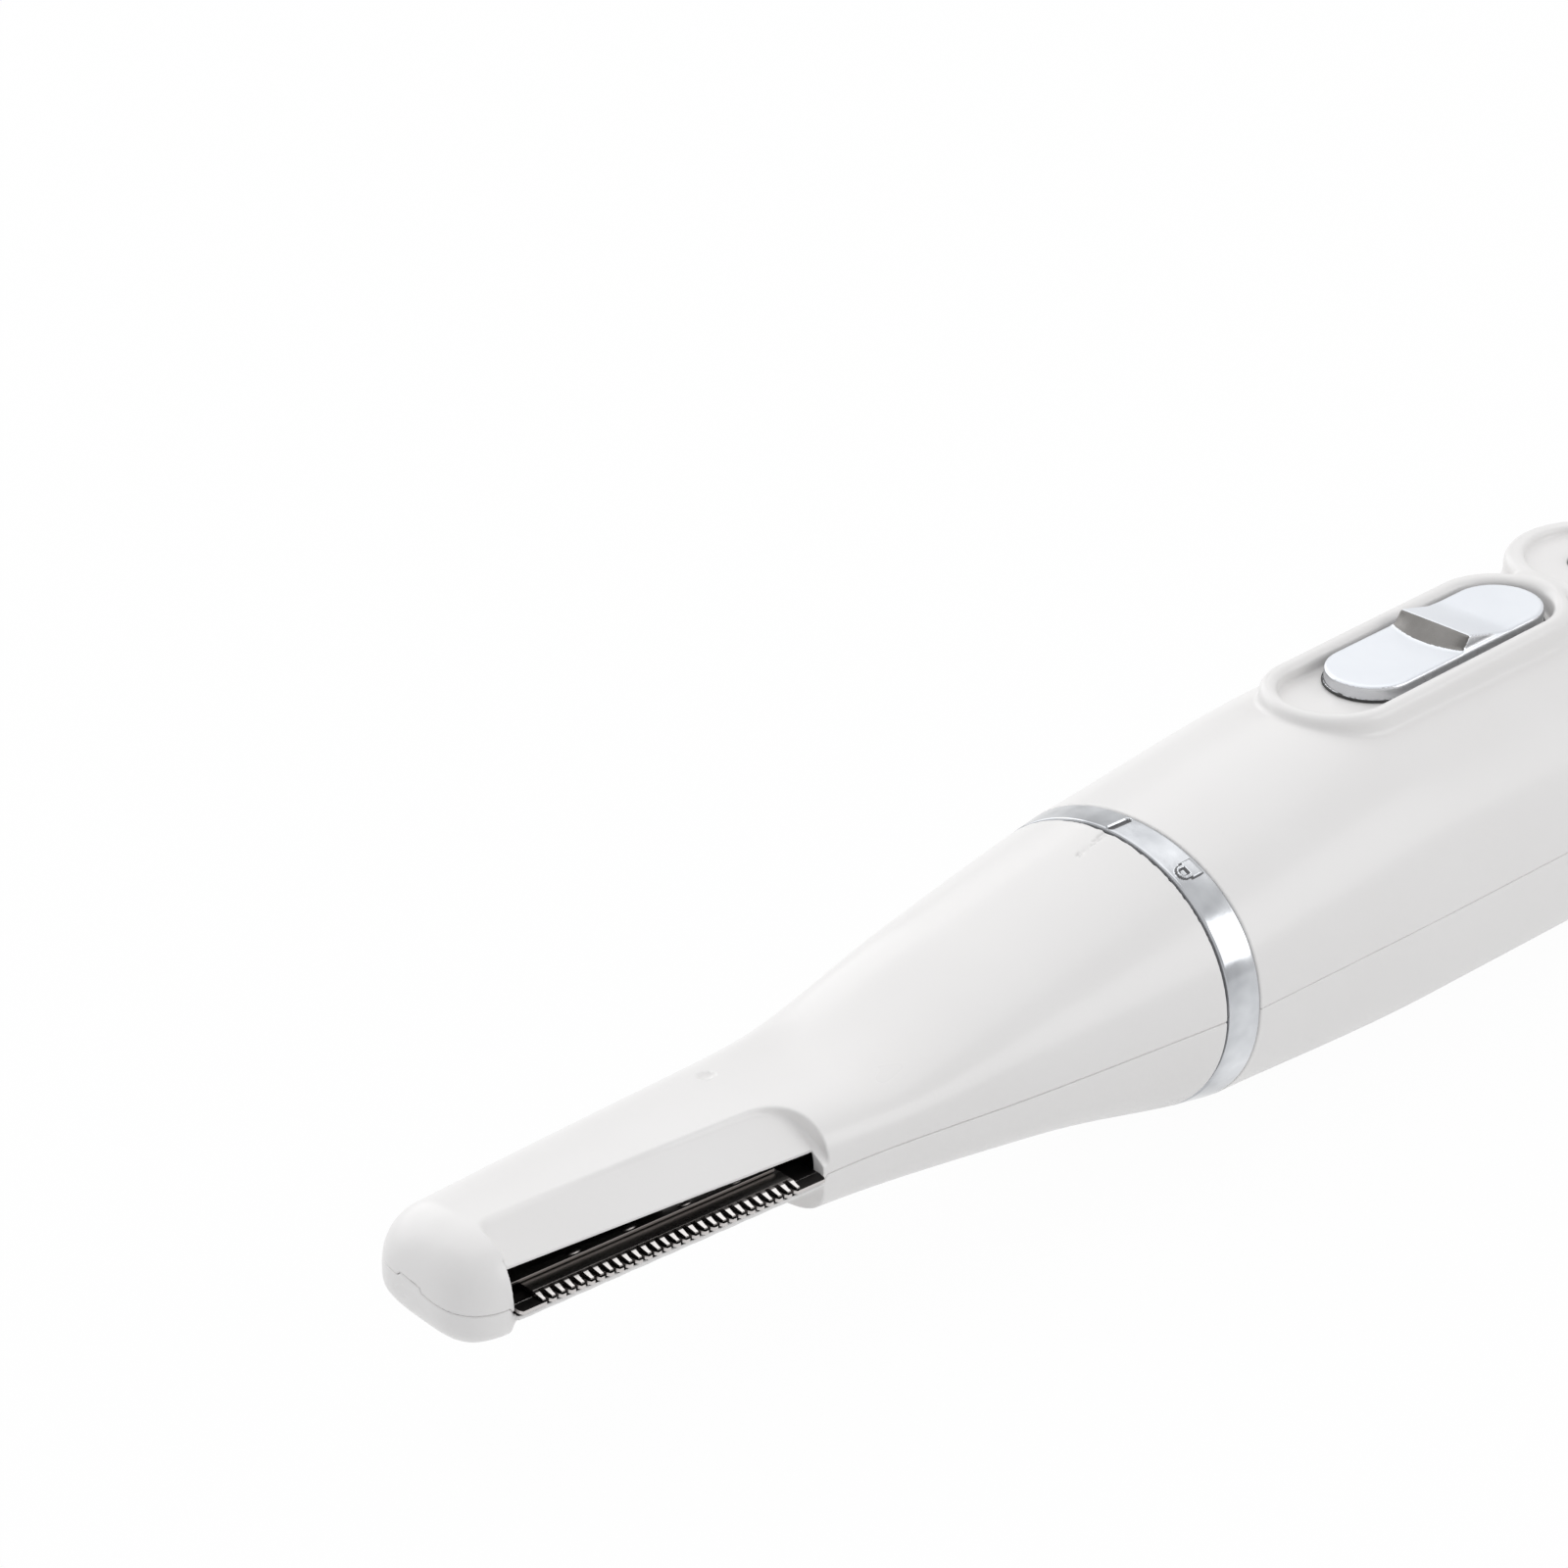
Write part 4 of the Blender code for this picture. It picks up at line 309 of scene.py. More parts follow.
def head_seam(x, y):
    """Height of the seam, which a tab steps up at the tip."""
    middle, half = sum(SEAM_TAB) / 2, (SEAM_TAB[1] - SEAM_TAB[0]) / 2
    tab = np.clip((half - np.abs(y - middle)) / SEAM_TAB_EDGE + 0.5, 0, 1)
    tab = tab * (x < HEAD_TIP + SEAM_TAB_LENGTH)
    growth, start, reach = SEAM_TILT
    rise = follow(SEAM_PLACES, SEAM_RISES, x) * (1 + growth * np.clip(y - start, 0, reach))
    cone = follow(CONE_SEAM_PLACES, CONE_SEAM_RISES, x) * np.clip(-y / 2, 0, 1)
    return rise + cone + SEAM_TAB_HEIGHT * tab


def sleeve_room(x, y, z):
    """Room in the head's end for the bayonet sleeve, which carries the head on the handle."""
    reach = np.hypot(y, z)
    flange = np.maximum(reach - FLANGE_ROOM[0], np.maximum(FLANGE_ROOM[1] - x, x - FLANGE_ROOM[2]))
    return np.minimum(flange, np.maximum(reach - SLEEVE_ROOM, FLANGE_ROOM[1] - x))


def head_upper(x, y, z):
    outer = head_outer(x, y, z)
    skin = less(outer, facet(x, y, z, 0, 0), 0.22)
    cavity = less(outer + HEAD_WALL, facet(x, y, z, FACET_WALL, LIP))
    cavity = both(cavity, HEAD_TIP + HEAD_WALL - x)
    shell = less(skin, cavity)
    u, v = blade_line(x, y)
    room = np.maximum(v - BLADE_ROOM, z - facet_level(u, v) + LIP)
    window = both(both(-u, u - WINDOW_LENGTH), np.minimum(v - FACET_INSET, room))
    shell = less(shell, window, 0.08)
    dot = np.sqrt((x - DOT[0]) ** 2 + (y - DOT[1]) ** 2 + (z - DOT[2]) ** 2) - DOT_RADIUS
    shell = less(shell, dot, 0.06)
    groove = np.hypot(np.maximum(np.abs(x - GROOVE[0]) - GROOVE_HALF_LENGTH, 0), y - GROOVE[1])
    groove = np.hypot(groove, (z - head_at(HEAD_TOPS, x)) * 1.2) - GROOVE_RADIUS
    shell = less(shell, groove, 0.1)
    shell = less(shell, sleeve_room(x, y, z))
    return both(shell, head_seam(x, y) + SEAM_GAP - z, SEAM_EDGE)


def screw_hole(x, y, z, screws, depth):
    """The posts of two screws, one on each side, and the holes that their heads sink into."""
    place, side = screws
    reach = np.hypot(x - place, np.abs(y) - side)
    return both(reach - SCREW_POST_RADIUS, z + 0.1), both(reach - SCREW_HOLE_RADIUS, z - depth)


def head_lower(x, y, z):
    outer = head_outer(x, y, z)
    skin = less(outer, undercut(x, y, z, 0), 0.2)
    u, v = blade_line(x, y)
    level = np.maximum(LEDGE_HEIGHTS[0] - z, z - LEDGE_HEIGHTS[1])
    skin = either(skin, both(rectangle(u, v, (0, WINDOW_LENGTH, *LEDGE)), level, 0.1), 0.15)
    cavity = less(outer + HEAD_WALL, undercut(x, y, z, HEAD_WALL))
    shell = less(skin, cavity)
    post, hole = screw_hole(x, y, z, HEAD_SCREWS, HEAD_SCREW_TOP)
    shell = either(shell, both(post, outer + 0.5))
    shell = less(shell, hole, 0.25)
    shell = less(shell, sleeve_room(x, y, z))
    return both(shell, z - head_seam(x, y) + SEAM_GAP, SEAM_EDGE)


def handle_outer(x, y, z):
    drawn = rounding(HANDLE_PLACES[-1] - x, TAIL_ROUNDING)
    half, top, bottom = (follow(HANDLE_PLACES, values, x) - drawn
                         for values in (HANDLE_HALF_WIDTHS, HANDLE_TOPS, HANDLE_BOTTOMS))
    skin = tube(y, z, half, top, bottom, HANDLE_SQUARENESS)
    return both(both(skin, x - HANDLE_PLACES[-1], 0.4), HANDLE_PLACES[0] - x, 0.2)


def less_fittings(shell, x, y, z):
    """A handle shell without the room for the bayonet socket and the hole of the inlet."""
    reach = np.hypot(y, z)
    shell = less(shell, np.maximum(reach - SOCKET_ROOM[0], x - SOCKET_ROOM[1]))
    return less(shell, both(reach - INLET[0], INLET[1] - x), 0.3)


def handle_upper(x, y, z):
    outer = handle_outer(x, y, z)
    edge = stadium(x, y, RECESS)
    cavity = less(outer + HANDLE_WALL, both(edge - HANDLE_WALL, RECESS_CEILING - z))
    bead_top = BEAD_TOP + BEAD_RISE * (x - BEAD_PLACE)
    bead = np.hypot(edge - BEAD_RADIUS, np.maximum(z - bead_top + BEAD_RADIUS, 0)) - BEAD_RADIUS
    skin = either(outer, both(bead, UPPER_LEVEL - z), 0.5)
    boss = both(disc(x, y, (BOSS[0], 0), BOSS[1]), z - BOSS_TOP, 1.0)
    skin = either(skin, both(boss, UPPER_LEVEL - z), 0.8)
    dish = both(disc(x, y, (BOSS[0], 0), BOSS[2]), BOSS_FLOOR - z, 0.4)
    skin = less(skin, dish, 0.5)
    recess = both(edge, RECESS_FLOOR - z, 0.3)
    skin = less(skin, recess, 0.15)
    shell = less_fittings(less(skin, cavity), x, y, z)
    shell = less(shell, disc(x, y, (BOSS[0], 0), LENS_RADIUS + LENS_GAP), 0.15)
    shell = less(shell, np.maximum(rectangle(x, y, SWITCH_SLOT), UPPER_LEVEL - z))
    return both(shell, HANDLE_GAP - z, 0.1)


def handle_lower(x, y, z):
    outer = both(handle_outer(x, y, z), BELLY - z, 0.6)
    shell = less_fittings(less(outer, outer + HANDLE_WALL), x, y, z)
    post, hole = screw_hole(x, y, z, HANDLE_SCREWS, HANDLE_SCREW_TOP)
    shell = either(shell, both(post, outer + 0.5))
    shell = less(shell, hole, 0.25)
    return both(shell, z + HANDLE_GAP, 0.1)


def button_level(x):
    start, end, _ = BUTTON
    return BUTTON_TOPS[0] + (BUTTON_TOPS[1] - BUTTON_TOPS[0]) * (x - start) / (end - start)


def button(x, y, z):
    """A plate with a bowed thumb rib, on a black foot that paints the shadow round it, with a stem.

    The slopes of the rib are divided by their steepness, roughly, so that they stay distances."""
    level = button_level(x)
    plate = both(both(stadium(x, y, BUTTON), BUTTON_LOW - z), z - level, 0.35)
    bow = RIB_BOW * (1 - (y / RIB_HALF_WIDTH) ** 2)
    front = (RIB_FOOT - bow - x + (z - level) * (RIB_LEAN + bow)) / 1.4
    peak, height = RIB_PEAK
    rear = ((z - level - height) + (x - peak) * height / (RIB_END - peak)) / 1.05
    rib = both(both(front, rear, 0.2), np.abs(y) - RIB_HALF_WIDTH, 0.2)
    rib = both(rib, BUTTON_LOW + 0.4 - z)
    shape = either(plate, rib, 0.25)
    # the foot is black, a painted shadow in the gap round the button
    out, down, up = SHADOW_SKIRT
    shadow_skirt = both(stadium(x, y, BUTTON) - out, np.maximum(z - BUTTON_LOW - up, BUTTON_LOW - down - z), 0.05)
    stem = np.maximum(rectangle(x, y, STEM), np.maximum(STEM_HEIGHTS[0] - z, z - STEM_HEIGHTS[1]))
    return np.minimum(np.minimum(shape, shadow_skirt), stem)


# Meshes

def ticks(*spans):
    """Grid lines from (start, end, step) spans that follow on from each other."""
    parts = [np.linspace(a, b, max(2, round((b - a) / (step * FINE)) + 1))[:-1] for a, b, step in spans]
    return np.concatenate([*parts, [spans[-1][1]]])


CORNERS = [(i, j, k) for i in (0, 1) for j in (0, 1) for k in (0, 1)]
EDGES = [(a, b) for a in range(8) for b in range(a + 1, 8)
         if sum(abs(p - q) for p, q in zip(CORNERS[a], CORNERS[b])) == 1]


def surface(real_shape, xs, ys, zs, place=None):
    """Points, faces and normals of a shape's surface, one point in each grid cell that it passes through.

    With place, the grid is bent: place turns grid coordinates into real ones."""
    def shape(a, b, c):
        return real_shape(*place(a, b, c)) if place else real_shape(a, b, c)

    value = shape(xs[:, None, None], ys[None, :, None], zs[None, None, :])
    value = np.broadcast_to(value, (len(xs), len(ys), len(zs)))
    inside = value < 0
    count = sum(inside[i:len(xs) - 1 + i, j:len(ys) - 1 + j, k:len(zs) - 1 + k].astype(np.int8)
                for i, j, k in CORNERS)
    cells = np.argwhere((count > 0) & (count < 8))
    index = np.full(count.shape, -1, np.int64)
    index[tuple(cells.T)] = np.arange(len(cells))
    held = np.stack([value[cells[:, 0] + i, cells[:, 1] + j, cells[:, 2] + k] for i, j, k in CORNERS], 1)
    corners = np.stack([np.stack((xs[cells[:, 0] + i], ys[cells[:, 1] + j], zs[cells[:, 2] + k]), 1)
                        for i, j, k in CORNERS], 1)
    total = np.zeros((len(cells), 3))
    hits = np.zeros(len(cells))
    for a, b in EDGES:
        cross = (held[:, a] < 0) != (held[:, b] < 0)
        t = np.where(cross, held[:, a] / np.where(cross, held[:, a] - held[:, b], 1), 0)
        total += np.where(cross[:, None], corners[:, a] + t[:, None] * (corners[:, b] - corners[:, a]), 0)
        hits += cross
    points = total / hits[:, None]
    low, high = corners[:, 0], corners[:, 7]
    faces = []
    for axis in range(3):
        one, two = [a for a in range(3) if a != axis]
        first = [slice(None)] * 3
        second = [slice(None)] * 3
        first[axis], second[axis] = slice(0, -1), slice(1, None)
        for a in (one, two):
            first[a] = second[a] = slice(1, -1)
        here, there = inside[tuple(first)], inside[tuple(second)]
        at = np.argwhere(here != there)
        at[:, one] += 1
        at[:, two] += 1
        ring = []
        for di, dj in ((-1, -1), (0, -1), (0, 0), (-1, 0)):
            cell = at.copy()
            cell[:, one] += di
            cell[:, two] += dj
            ring.append(index[tuple(cell.T)])
        quads = np.stack(ring, 1)
        out = inside[tuple(at.T)]
        if axis == 1:
            out = ~out
        quads[~out] = quads[~out][:, ::-1]
        faces.append(quads)
    faces = np.concatenate(faces)

    def gradient(of, p):
        e = 0.01
        step = np.eye(3) * e
        return np.stack([(of(*(p + s).T) - of(*(p - s).T)) / (2 * e) for s in step], 1)

    for _ in range(3):
        slope = gradient(shape, points)
        move = -shape(*points.T)[:, None] * slope / np.maximum((slope**2).sum(1), 1e-3)[:, None]
        reach = (high - low).min(1)[:, None] * 0.5
        move *= np.minimum(1, reach / np.maximum(np.linalg.norm(move, axis=1), 1e-9)[:, None])
        points = np.clip(points + move, low, high)
    if place:
        points = np.stack(np.broadcast_arrays(*place(*points.T)), 1)
    slope = gradient(real_shape, points)
    normals = slope / np.maximum(np.linalg.norm(slope, axis=1), 1e-9)[:, None]
    return points, faces, normals


def mesh_object(name, points, faces, materials, normals=None, chosen=None):
    """An object from points in millimetres and faces that all have the same number of corners."""
    points, faces = np.asarray(points, float), np.asarray(faces)
    mesh = bpy.data.meshes.new(name)
    mesh.vertices.add(len(points))
    mesh.vertices.foreach_set("co", ((points + AXIS) / 1000).astype(np.float32).ravel())
    mesh.loops.add(faces.size)
    mesh.loops.foreach_set("vertex_index", faces.astype(np.int32).ravel())
    mesh.polygons.add(len(faces))
    mesh.polygons.foreach_set("loop_start", np.arange(0, faces.size, faces.shape[1], dtype=np.int32))
    for material in materials:
        mesh.materials.append(material)
    if chosen is not None:
        mesh.polygons.foreach_set("material_index", chosen.astype(np.int32))
    mesh.update(calc_edges=True)
    mesh.shade_smooth()
    if normals is not None:
        mesh.normals_split_custom_set_from_vertices(normals.astype(np.float32))
    obj = bpy.data.objects.new(name, mesh)
    bpy.context.scene.collection.objects.link(obj)
    return obj


# Materials

def material(name, color, roughness, metallic=0.0, **inputs):
    made = bpy.data.materials.new(name)
    made.use_nodes = True
    shader = made.node_tree.nodes["Principled BSDF"]
    shader.inputs["Base Color"].default_value = (*color, 1)
    shader.inputs["Roughness"].default_value = roughness
    shader.inputs["Metallic"].default_value = metallic
    for key, value in inputs.items():
        shader.inputs[key.replace("_", " ")].default_value = value
    made.diffuse_color = (*color, 1)
    return made


def node(tree, kind, **values):
    made = tree.nodes.new(kind)
    for key, value in values.items():
        if key in made.inputs:
            made.inputs[key].default_value = value
        else:
            setattr(made, key, value)
    return made


NOISE_LOW, NOISE_HIGH = 0.2, 0.8  # what the noise reaches in practice
BRUSHED = (0.15, 1, 1)  # noise drawn out along the blades


def vary(made, color_a, color_b, rough_a, rough_b, scale, bump, bump_scale, stretch=(1, 1, 1)):
    """Slow variation of colour and gloss over the surface, and a fine bump."""
    tree = made.node_tree
    shader = tree.nodes["Principled BSDF"]
    place = tree.nodes.new("ShaderNodeTexCoord")
    spread = tree.nodes.new("ShaderNodeMapping")
    spread.inputs["Scale"].default_value = stretch
    tree.links.new(place.outputs["Object"], spread.inputs["Vector"])
    slow = node(tree, "ShaderNodeTexNoise", Scale=scale, Detail=3.0)
    tree.links.new(spread.outputs["Vector"], slow.inputs["Vector"])
    ramp = tree.nodes.new("ShaderNodeValToRGB")
    ramp.color_ramp.elements[0].position = NOISE_LOW
    ramp.color_ramp.elements[1].position = NOISE_HIGH
    ramp.color_ramp.elements[0].color = (*color_a, 1)
    ramp.color_ramp.elements[1].color = (*color_b, 1)
    tree.links.new(slow.outputs["Fac"], ramp.inputs["Fac"])
    tree.links.new(ramp.outputs["Color"], shader.inputs["Base Color"])
    gloss = tree.nodes.new("ShaderNodeMapRange")
    gloss.inputs["From Min"].default_value = NOISE_LOW
    gloss.inputs["From Max"].default_value = NOISE_HIGH
    gloss.inputs["To Min"].default_value = rough_a
    gloss.inputs["To Max"].default_value = rough_b
    tree.links.new(slow.outputs["Fac"], gloss.inputs["Value"])
    tree.links.new(gloss.outputs["Result"], shader.inputs["Roughness"])
    fine = node(tree, "ShaderNodeTexNoise", Scale=bump_scale, Detail=4.0)
    tree.links.new(spread.outputs["Vector"], fine.inputs["Vector"])
    relief = node(tree, "ShaderNodeBump", Strength=bump, Distance=0.00002)
    tree.links.new(fine.outputs["Fac"], relief.inputs["Height"])
    tree.links.new(relief.outputs["Normal"], shader.inputs["Normal"])
    return made


WHITE = vary(
    material("gloss_white", (0.80, 0.79, 0.78), 0.3, Coat_Weight=0.2, Coat_Roughness=0.16,
             Specular_IOR_Level=0.45),
    (0.80, 0.785, 0.772), (0.82, 0.808, 0.797), 0.26, 0.36, 90, 0.25, 2600)
# painted shade: a near-black finish on the casing's faces round the blades, where the cavity lies in shade
CAVITY_PAINTED_SHADE = vary(material("painted_shade_black", (0.03, 0.028, 0.026), 0.6), (0.02, 0.018, 0.017), (0.04, 0.036, 0.034),
              0.5, 0.7, 300, 0.3, 5000)
# painted reflections: the chrome's colour swings between dark and bright in slow blotches that stand for
# mottled reflections
CHROME_PAINTED_REFLECTIONS = vary(material("painted_reflections_chrome", (0.62, 0.64, 0.67), 0.15, 1.0), (0.28, 0.29, 0.31),
              (0.86, 0.88, 0.91), 0.08, 0.24, 190, 0.5, 700)
SATIN = vary(material("satin_silver", (0.80, 0.83, 0.88), 0.35, 0.45, Coat_Weight=0.3, Coat_Roughness=0.3),
             (0.74, 0.765, 0.81), (0.79, 0.815, 0.85), 0.32, 0.42, 200, 0.3, 6000)
# painted shade: a darker metal for the button's sides
BUTTON_SIDE_PAINTED_SHADE = vary(material("painted_shade_button_side", (0.64, 0.65, 0.67), 0.25, 1.0), (0.58, 0.59, 0.61),
                  (0.7, 0.71, 0.73), 0.2, 0.32, 300, 0.3, 3000)
MARK = vary(material("ring_mark", (0.13, 0.13, 0.135), 0.5), (0.10, 0.10, 0.105), (0.16, 0.16, 0.165),
            0.4, 0.6, 600, 0.2, 4000)
# painted shade: a near-black metal for the scoop in front of the rib
BUTTON_SCOOP_PAINTED_SHADE = vary(material("painted_shade_button_scoop", (0.16, 0.155, 0.15), 0.3, 1.0), (0.12, 0.115, 0.11),
                   (0.21, 0.205, 0.20), 0.2, 0.34, 300, 0.2, 3000)
# painted highlight: a lighter steel for the sloping tops of the cutting teeth
TOOTH_PAINTED_HIGHLIGHT = vary(material("painted_highlight_teeth", (0.62, 0.60, 0.59), 0.25, 1.0), (0.54, 0.52, 0.51), (0.70, 0.68, 0.67),
             0.18, 0.34, 500, 0.5, 3000, BRUSHED)
# the cutting blade's own steel colour, also used as a painted highlight on the spring's dimples
STEEL_AND_DIMPLE_HIGHLIGHT = vary(material("brushed_steel_and_dimple_highlight", (0.30, 0.28, 0.27), 0.3, 1.0), (0.24, 0.225, 0.215),
                  (0.36, 0.34, 0.33), 0.22, 0.38, 500, 0.5, 3000, BRUSHED)
# painted shade: the comb's top is near black because it lies in shade under the cutting blade
COMB_TOP_PAINTED_SHADE = vary(material("painted_shade_comb_top", (0.02, 0.018, 0.018), 0.4, 1.0), (0.012, 0.011, 0.011),
                (0.03, 0.028, 0.027), 0.35, 0.5, 500, 0.4, 3000, BRUSHED)
COMB = vary(material("comb_edge_steel", (0.6, 0.57, 0.56), 0.35, 1.0), (0.55, 0.525, 0.515),
            (0.66, 0.635, 0.625), 0.28, 0.42, 500, 0.5, 3000, BRUSHED)
SPRING = vary(material("spring_strip", (0.20, 0.19, 0.18), 0.35, 1.0), (0.16, 0.15, 0.14),
              (0.25, 0.235, 0.225), 0.28, 0.42, 500, 0.4, 3000, BRUSHED)
ZINC = vary(material("zinc_plate", (0.62, 0.62, 0.60), 0.3, 1.0), (0.58, 0.58, 0.55), (0.66, 0.66, 0.64),
            0.25, 0.4, 700, 0.3, 4000)
STEEL = vary(material("nickel_plate", (0.5, 0.5, 0.52), 0.3, 1.0), (0.46, 0.46, 0.48), (0.55, 0.55, 0.57),
             0.22, 0.36, 500, 0.3, 4000)
GREY = vary(material("grey_nylon_part", (0.42, 0.42, 0.43), 0.5), (0.40, 0.40, 0.41), (0.44, 0.44, 0.45),
            0.45, 0.6, 400, 0.3, 5000)
BLACK = vary(material("black_nylon_part", (0.03, 0.03, 0.03), 0.45), (0.025, 0.025, 0.025),
             (0.04, 0.04, 0.04), 0.4, 0.55, 400, 0.3, 5000)


# Casings

def on_blade_grid(u, v, w):
    """A grid that lies along the blade line and sinks with the facet's lip."""
    return *on_blade_line(u, v), w - FACET_FALL * np.clip(u, 0, WINDOW_LENGTH)


def shell_object(name, shape, grid, body, node_name, inner=None, place=None):
    points, faces, normals = surface(shape, *grid, place)
    materials = [WHITE]
    chosen = None
    # inner picks the faces that get the black painted shade
    if inner:
        chosen = inner(*points[faces].mean(1).T, normals[faces].mean(1))
        materials.append(CAVITY_PAINTED_SHADE)
    obj = mesh_object(name, points, faces, materials, normals, chosen)
    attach(obj, body)
    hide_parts(node_name)
    return obj


def painted_shade_faces(x, y, z, normals):
    """Faces round the blades that are painted black, as shade in the cavity and between the teeth."""
    u, v = blade_line(x, y)
    outer = head_outer(x, y, z)
    front = x < PAINTED_SHADE_END
    over = front & (outer < -0.25) & (z > 0.2) & (normals[:, 2] < -0.4)
    behind = front & (outer < -0.8) & (z > 0.3) & (v > FACET_INSET + 0.5)
    behind &= facet(x, y, z, 0.4, LIP - 0.1) > 0
    under = front & (outer < -0.6) & (z < 0) & (undercut(x, y, z, 0.8) > 0)
    # painted shade: the ledge under the comb is black so that the gaps between the teeth look dark
    ledge = (u > -0.05) & (u < WINDOW_LENGTH + 0.05) & (v > 0.25) & (normals[:, 2] > 0.6) & (np.abs(z) < 0.2)
    return over | behind | under | ledge


shell_object(
    "head_casing_top", head_upper,
    (ticks((-4.6, 27.4, 0.16), (27.4, 48, 0.4), (48, 57.5, 0.45), (57.5, 58.8, 0.2), (58.8, 62.2, 0.11)),
     ticks((-2.4, 0.0, 0.18), (0.0, 1.7, 0.1), (1.7, 6.4, 0.13), (6.4, 11.4, 0.3), (11.4, 15.2, 0.18),
           (15.2, 22.5, 0.3)),
     ticks((-0.1, 3.4, 0.1), (3.4, 6.6, 0.14), (6.6, 12.3, 0.4))),
    "head", "head_upper_shell", painted_shade_faces, on_blade_grid)
shell_object(
    "head_casing_bottom", head_lower,
    (ticks((-65.3, -62, 0.12), (-62, -33, 0.17), (-33, -19, 0.35), (-19, -14, 0.18), (-14, -3.2, 0.5),
           (-3.2, 0.1, 0.11)),
     ticks((-12.4, -8, 0.25), (-8, -0.6, 0.18), (-0.6, 3.4, 0.1), (3.4, 8, 0.18), (8, 12.4, 0.25)),
     ticks((-11.1, -5, 0.3), (-5, -0.5, 0.15), (-0.5, 1.6, 0.1))),
    "head", "head_lower_shell", painted_shade_faces)
shell_object(
    "handle_casing_top", handle_upper,
    (ticks((2.5, 4.9, 0.12), (4.9, 17, 0.6), (17, 62, 0.17), (62, 96, 1.0), (96, 100.9, 0.2)),
     ticks((-13, -11.6, 0.12), (-11.6, -8, 0.35), (-8, 8, 0.17), (8, 11.6, 0.35), (11.6, 13, 0.12)),
     ticks((-0.1, 0.5, 0.1), (0.5, 2.2, 0.2), (2.2, 10.5, 0.5), (10.5, 14.6, 0.16))),
    "handle", "handle_upper_shell")
shell_object(
    "handle_casing_bottom", handle_lower,
    (ticks((2.5, 4.9, 0.12), (4.9, 63.5, 0.9), (63.5, 68.5, 0.2), (68.5, 96, 0.9), (96, 100.9, 0.2)),
     ticks((-13, -11.6, 0.12), (-11.6, -7.4, 0.2), (-7.4, -2.4, 0.4), (-2.4, 2.4, 0.2), (2.4, 7.4, 0.4),
           (7.4, 11.6, 0.2), (11.6, 13, 0.12)),
     ticks((-12.5, -2.4, 0.3), (-2.4, -0.5, 0.18), (-0.5, 0.1, 0.1))),
    "handle", "handle_lower_shell")


# Blades

def blade_object(name, span, back, tip, heights, drop, gap, finishes, body, node_name):
    """A toothed blade: a strip with tapered teeth that slope down to their tips.

    finishes holds the materials of the strip, of the teeth's slopes and of the sides."""
    start, end = span
    low, high = heights
    root = tip + TOOTH_DEPTH
    points, faces, chosen = [], [], []

    def point(u, v, z):
        points.append((*on_blade_line(u, v), z))
        return len(points) - 1

    def column(u, v, top):
        return point(u, v, low), point(u, v, top)

    def face(corners, finish):
        faces.append(corners)
        chosen.append(finish)

    def prism(outline, tops, closed):
        """An upright solid over an outline; its first side stays open where closed is False."""
        columns = [column(u, v, top) for (u, v), top in zip(outline, tops)]
        if closed:
            face([c[1] for c in columns], 0)
        else:
            face([columns[i][1] for i in (7, 0, 1, 2)], 0)  # the level part, before the slope
            face([c[1] for c in columns[2:]], 1)
        face([c[0] for c in columns[::-1]], 0)
        for i in range(0 if closed else 1, len(columns)):
            here, there = columns[i - 1], columns[i]
            face([here[0], there[0], there[1], here[1]], 2)

    edges = [start]
    for i in range(TOOTH_GAPS):
        middle = FIRST_GAP + TOOTH_GAP / 2 + i * TOOTH_PITCH
        edges += [middle - gap / 2, middle + gap / 2]
    edges.append(end)
    prism([(start, back), (start, root), (end, root), (end, back)], [high] * 4, True)
    for left, right in zip(edges[::2], edges[1::2]):
        outer = 0.06 if right - left < 0.5 else 0.2
        prism([(right, root), (left, root), (left, root - SHOULDER), (left + 0.05, tip + 0.25),
               (left + outer, tip), (right - outer, tip), (right - 0.05, tip + 0.25),
               (right, root - SHOULDER)],
              [high, high, high - 0.02, high - drop * 0.8, high - drop, high - drop, high - drop * 0.8,
               high - 0.02], False)
    mesh = bpy.data.meshes.new(name)
    mesh.from_pydata([tuple((np.array(p) + AXIS) / 1000) for p in points], [], faces)
    for finish in finishes:
        mesh.materials.append(finish)
    mesh.polygons.foreach_set("material_index", chosen)
    work = bmesh.new()
    work.from_mesh(mesh)
    bmesh.ops.remove_doubles(work, verts=work.verts, dist=1e-8)
    bmesh.ops.recalc_face_normals(work, faces=work.faces)
    work.to_mesh(mesh)
    work.free()
    obj = bpy.data.objects.new(name, mesh)
    bpy.context.scene.collection.objects.link(obj)
    edge = obj.modifiers.new("edge", "BEVEL")
    edge.width = BLADE_EDGE / 1000
    edge.segments = 2
    edge.limit_method = "ANGLE"
    edge.harden_normals = True
    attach(obj, body)
    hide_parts(node_name)


BLADE_SPAN = (FIRST_GAP - END_TOOTH, FIRST_GAP + (TOOTH_GAPS - 1) * TOOTH_PITCH + TOOTH_GAP + END_TOOTH)
# the comb's strip and tooth tops carry the painted shade; its sides keep the steel colour
blade_object(
    "fixed_comb", span=(0.06, 25.74), back=7.2, tip=-0.1, heights=(0.15, 0.45), drop=0.04, gap=0.09,
    finishes=(COMB_TOP_PAINTED_SHADE, COMB_TOP_PAINTED_SHADE, COMB), body="head", node_name="comb_blade")
# the teeth's slopes get the painted highlight
blade_object(
    "cutting_blade", span=BLADE_SPAN, back=4.0, tip=0.0, heights=(0.5, 0.8), drop=0.18, gap=TOOTH_GAP,
    finishes=(STEEL_AND_DIMPLE_HIGHLIGHT, TOOTH_PAINTED_HIGHLIGHT, STEEL_AND_DIMPLE_HIGHLIGHT), body="cutter", node_name="moving_blade")


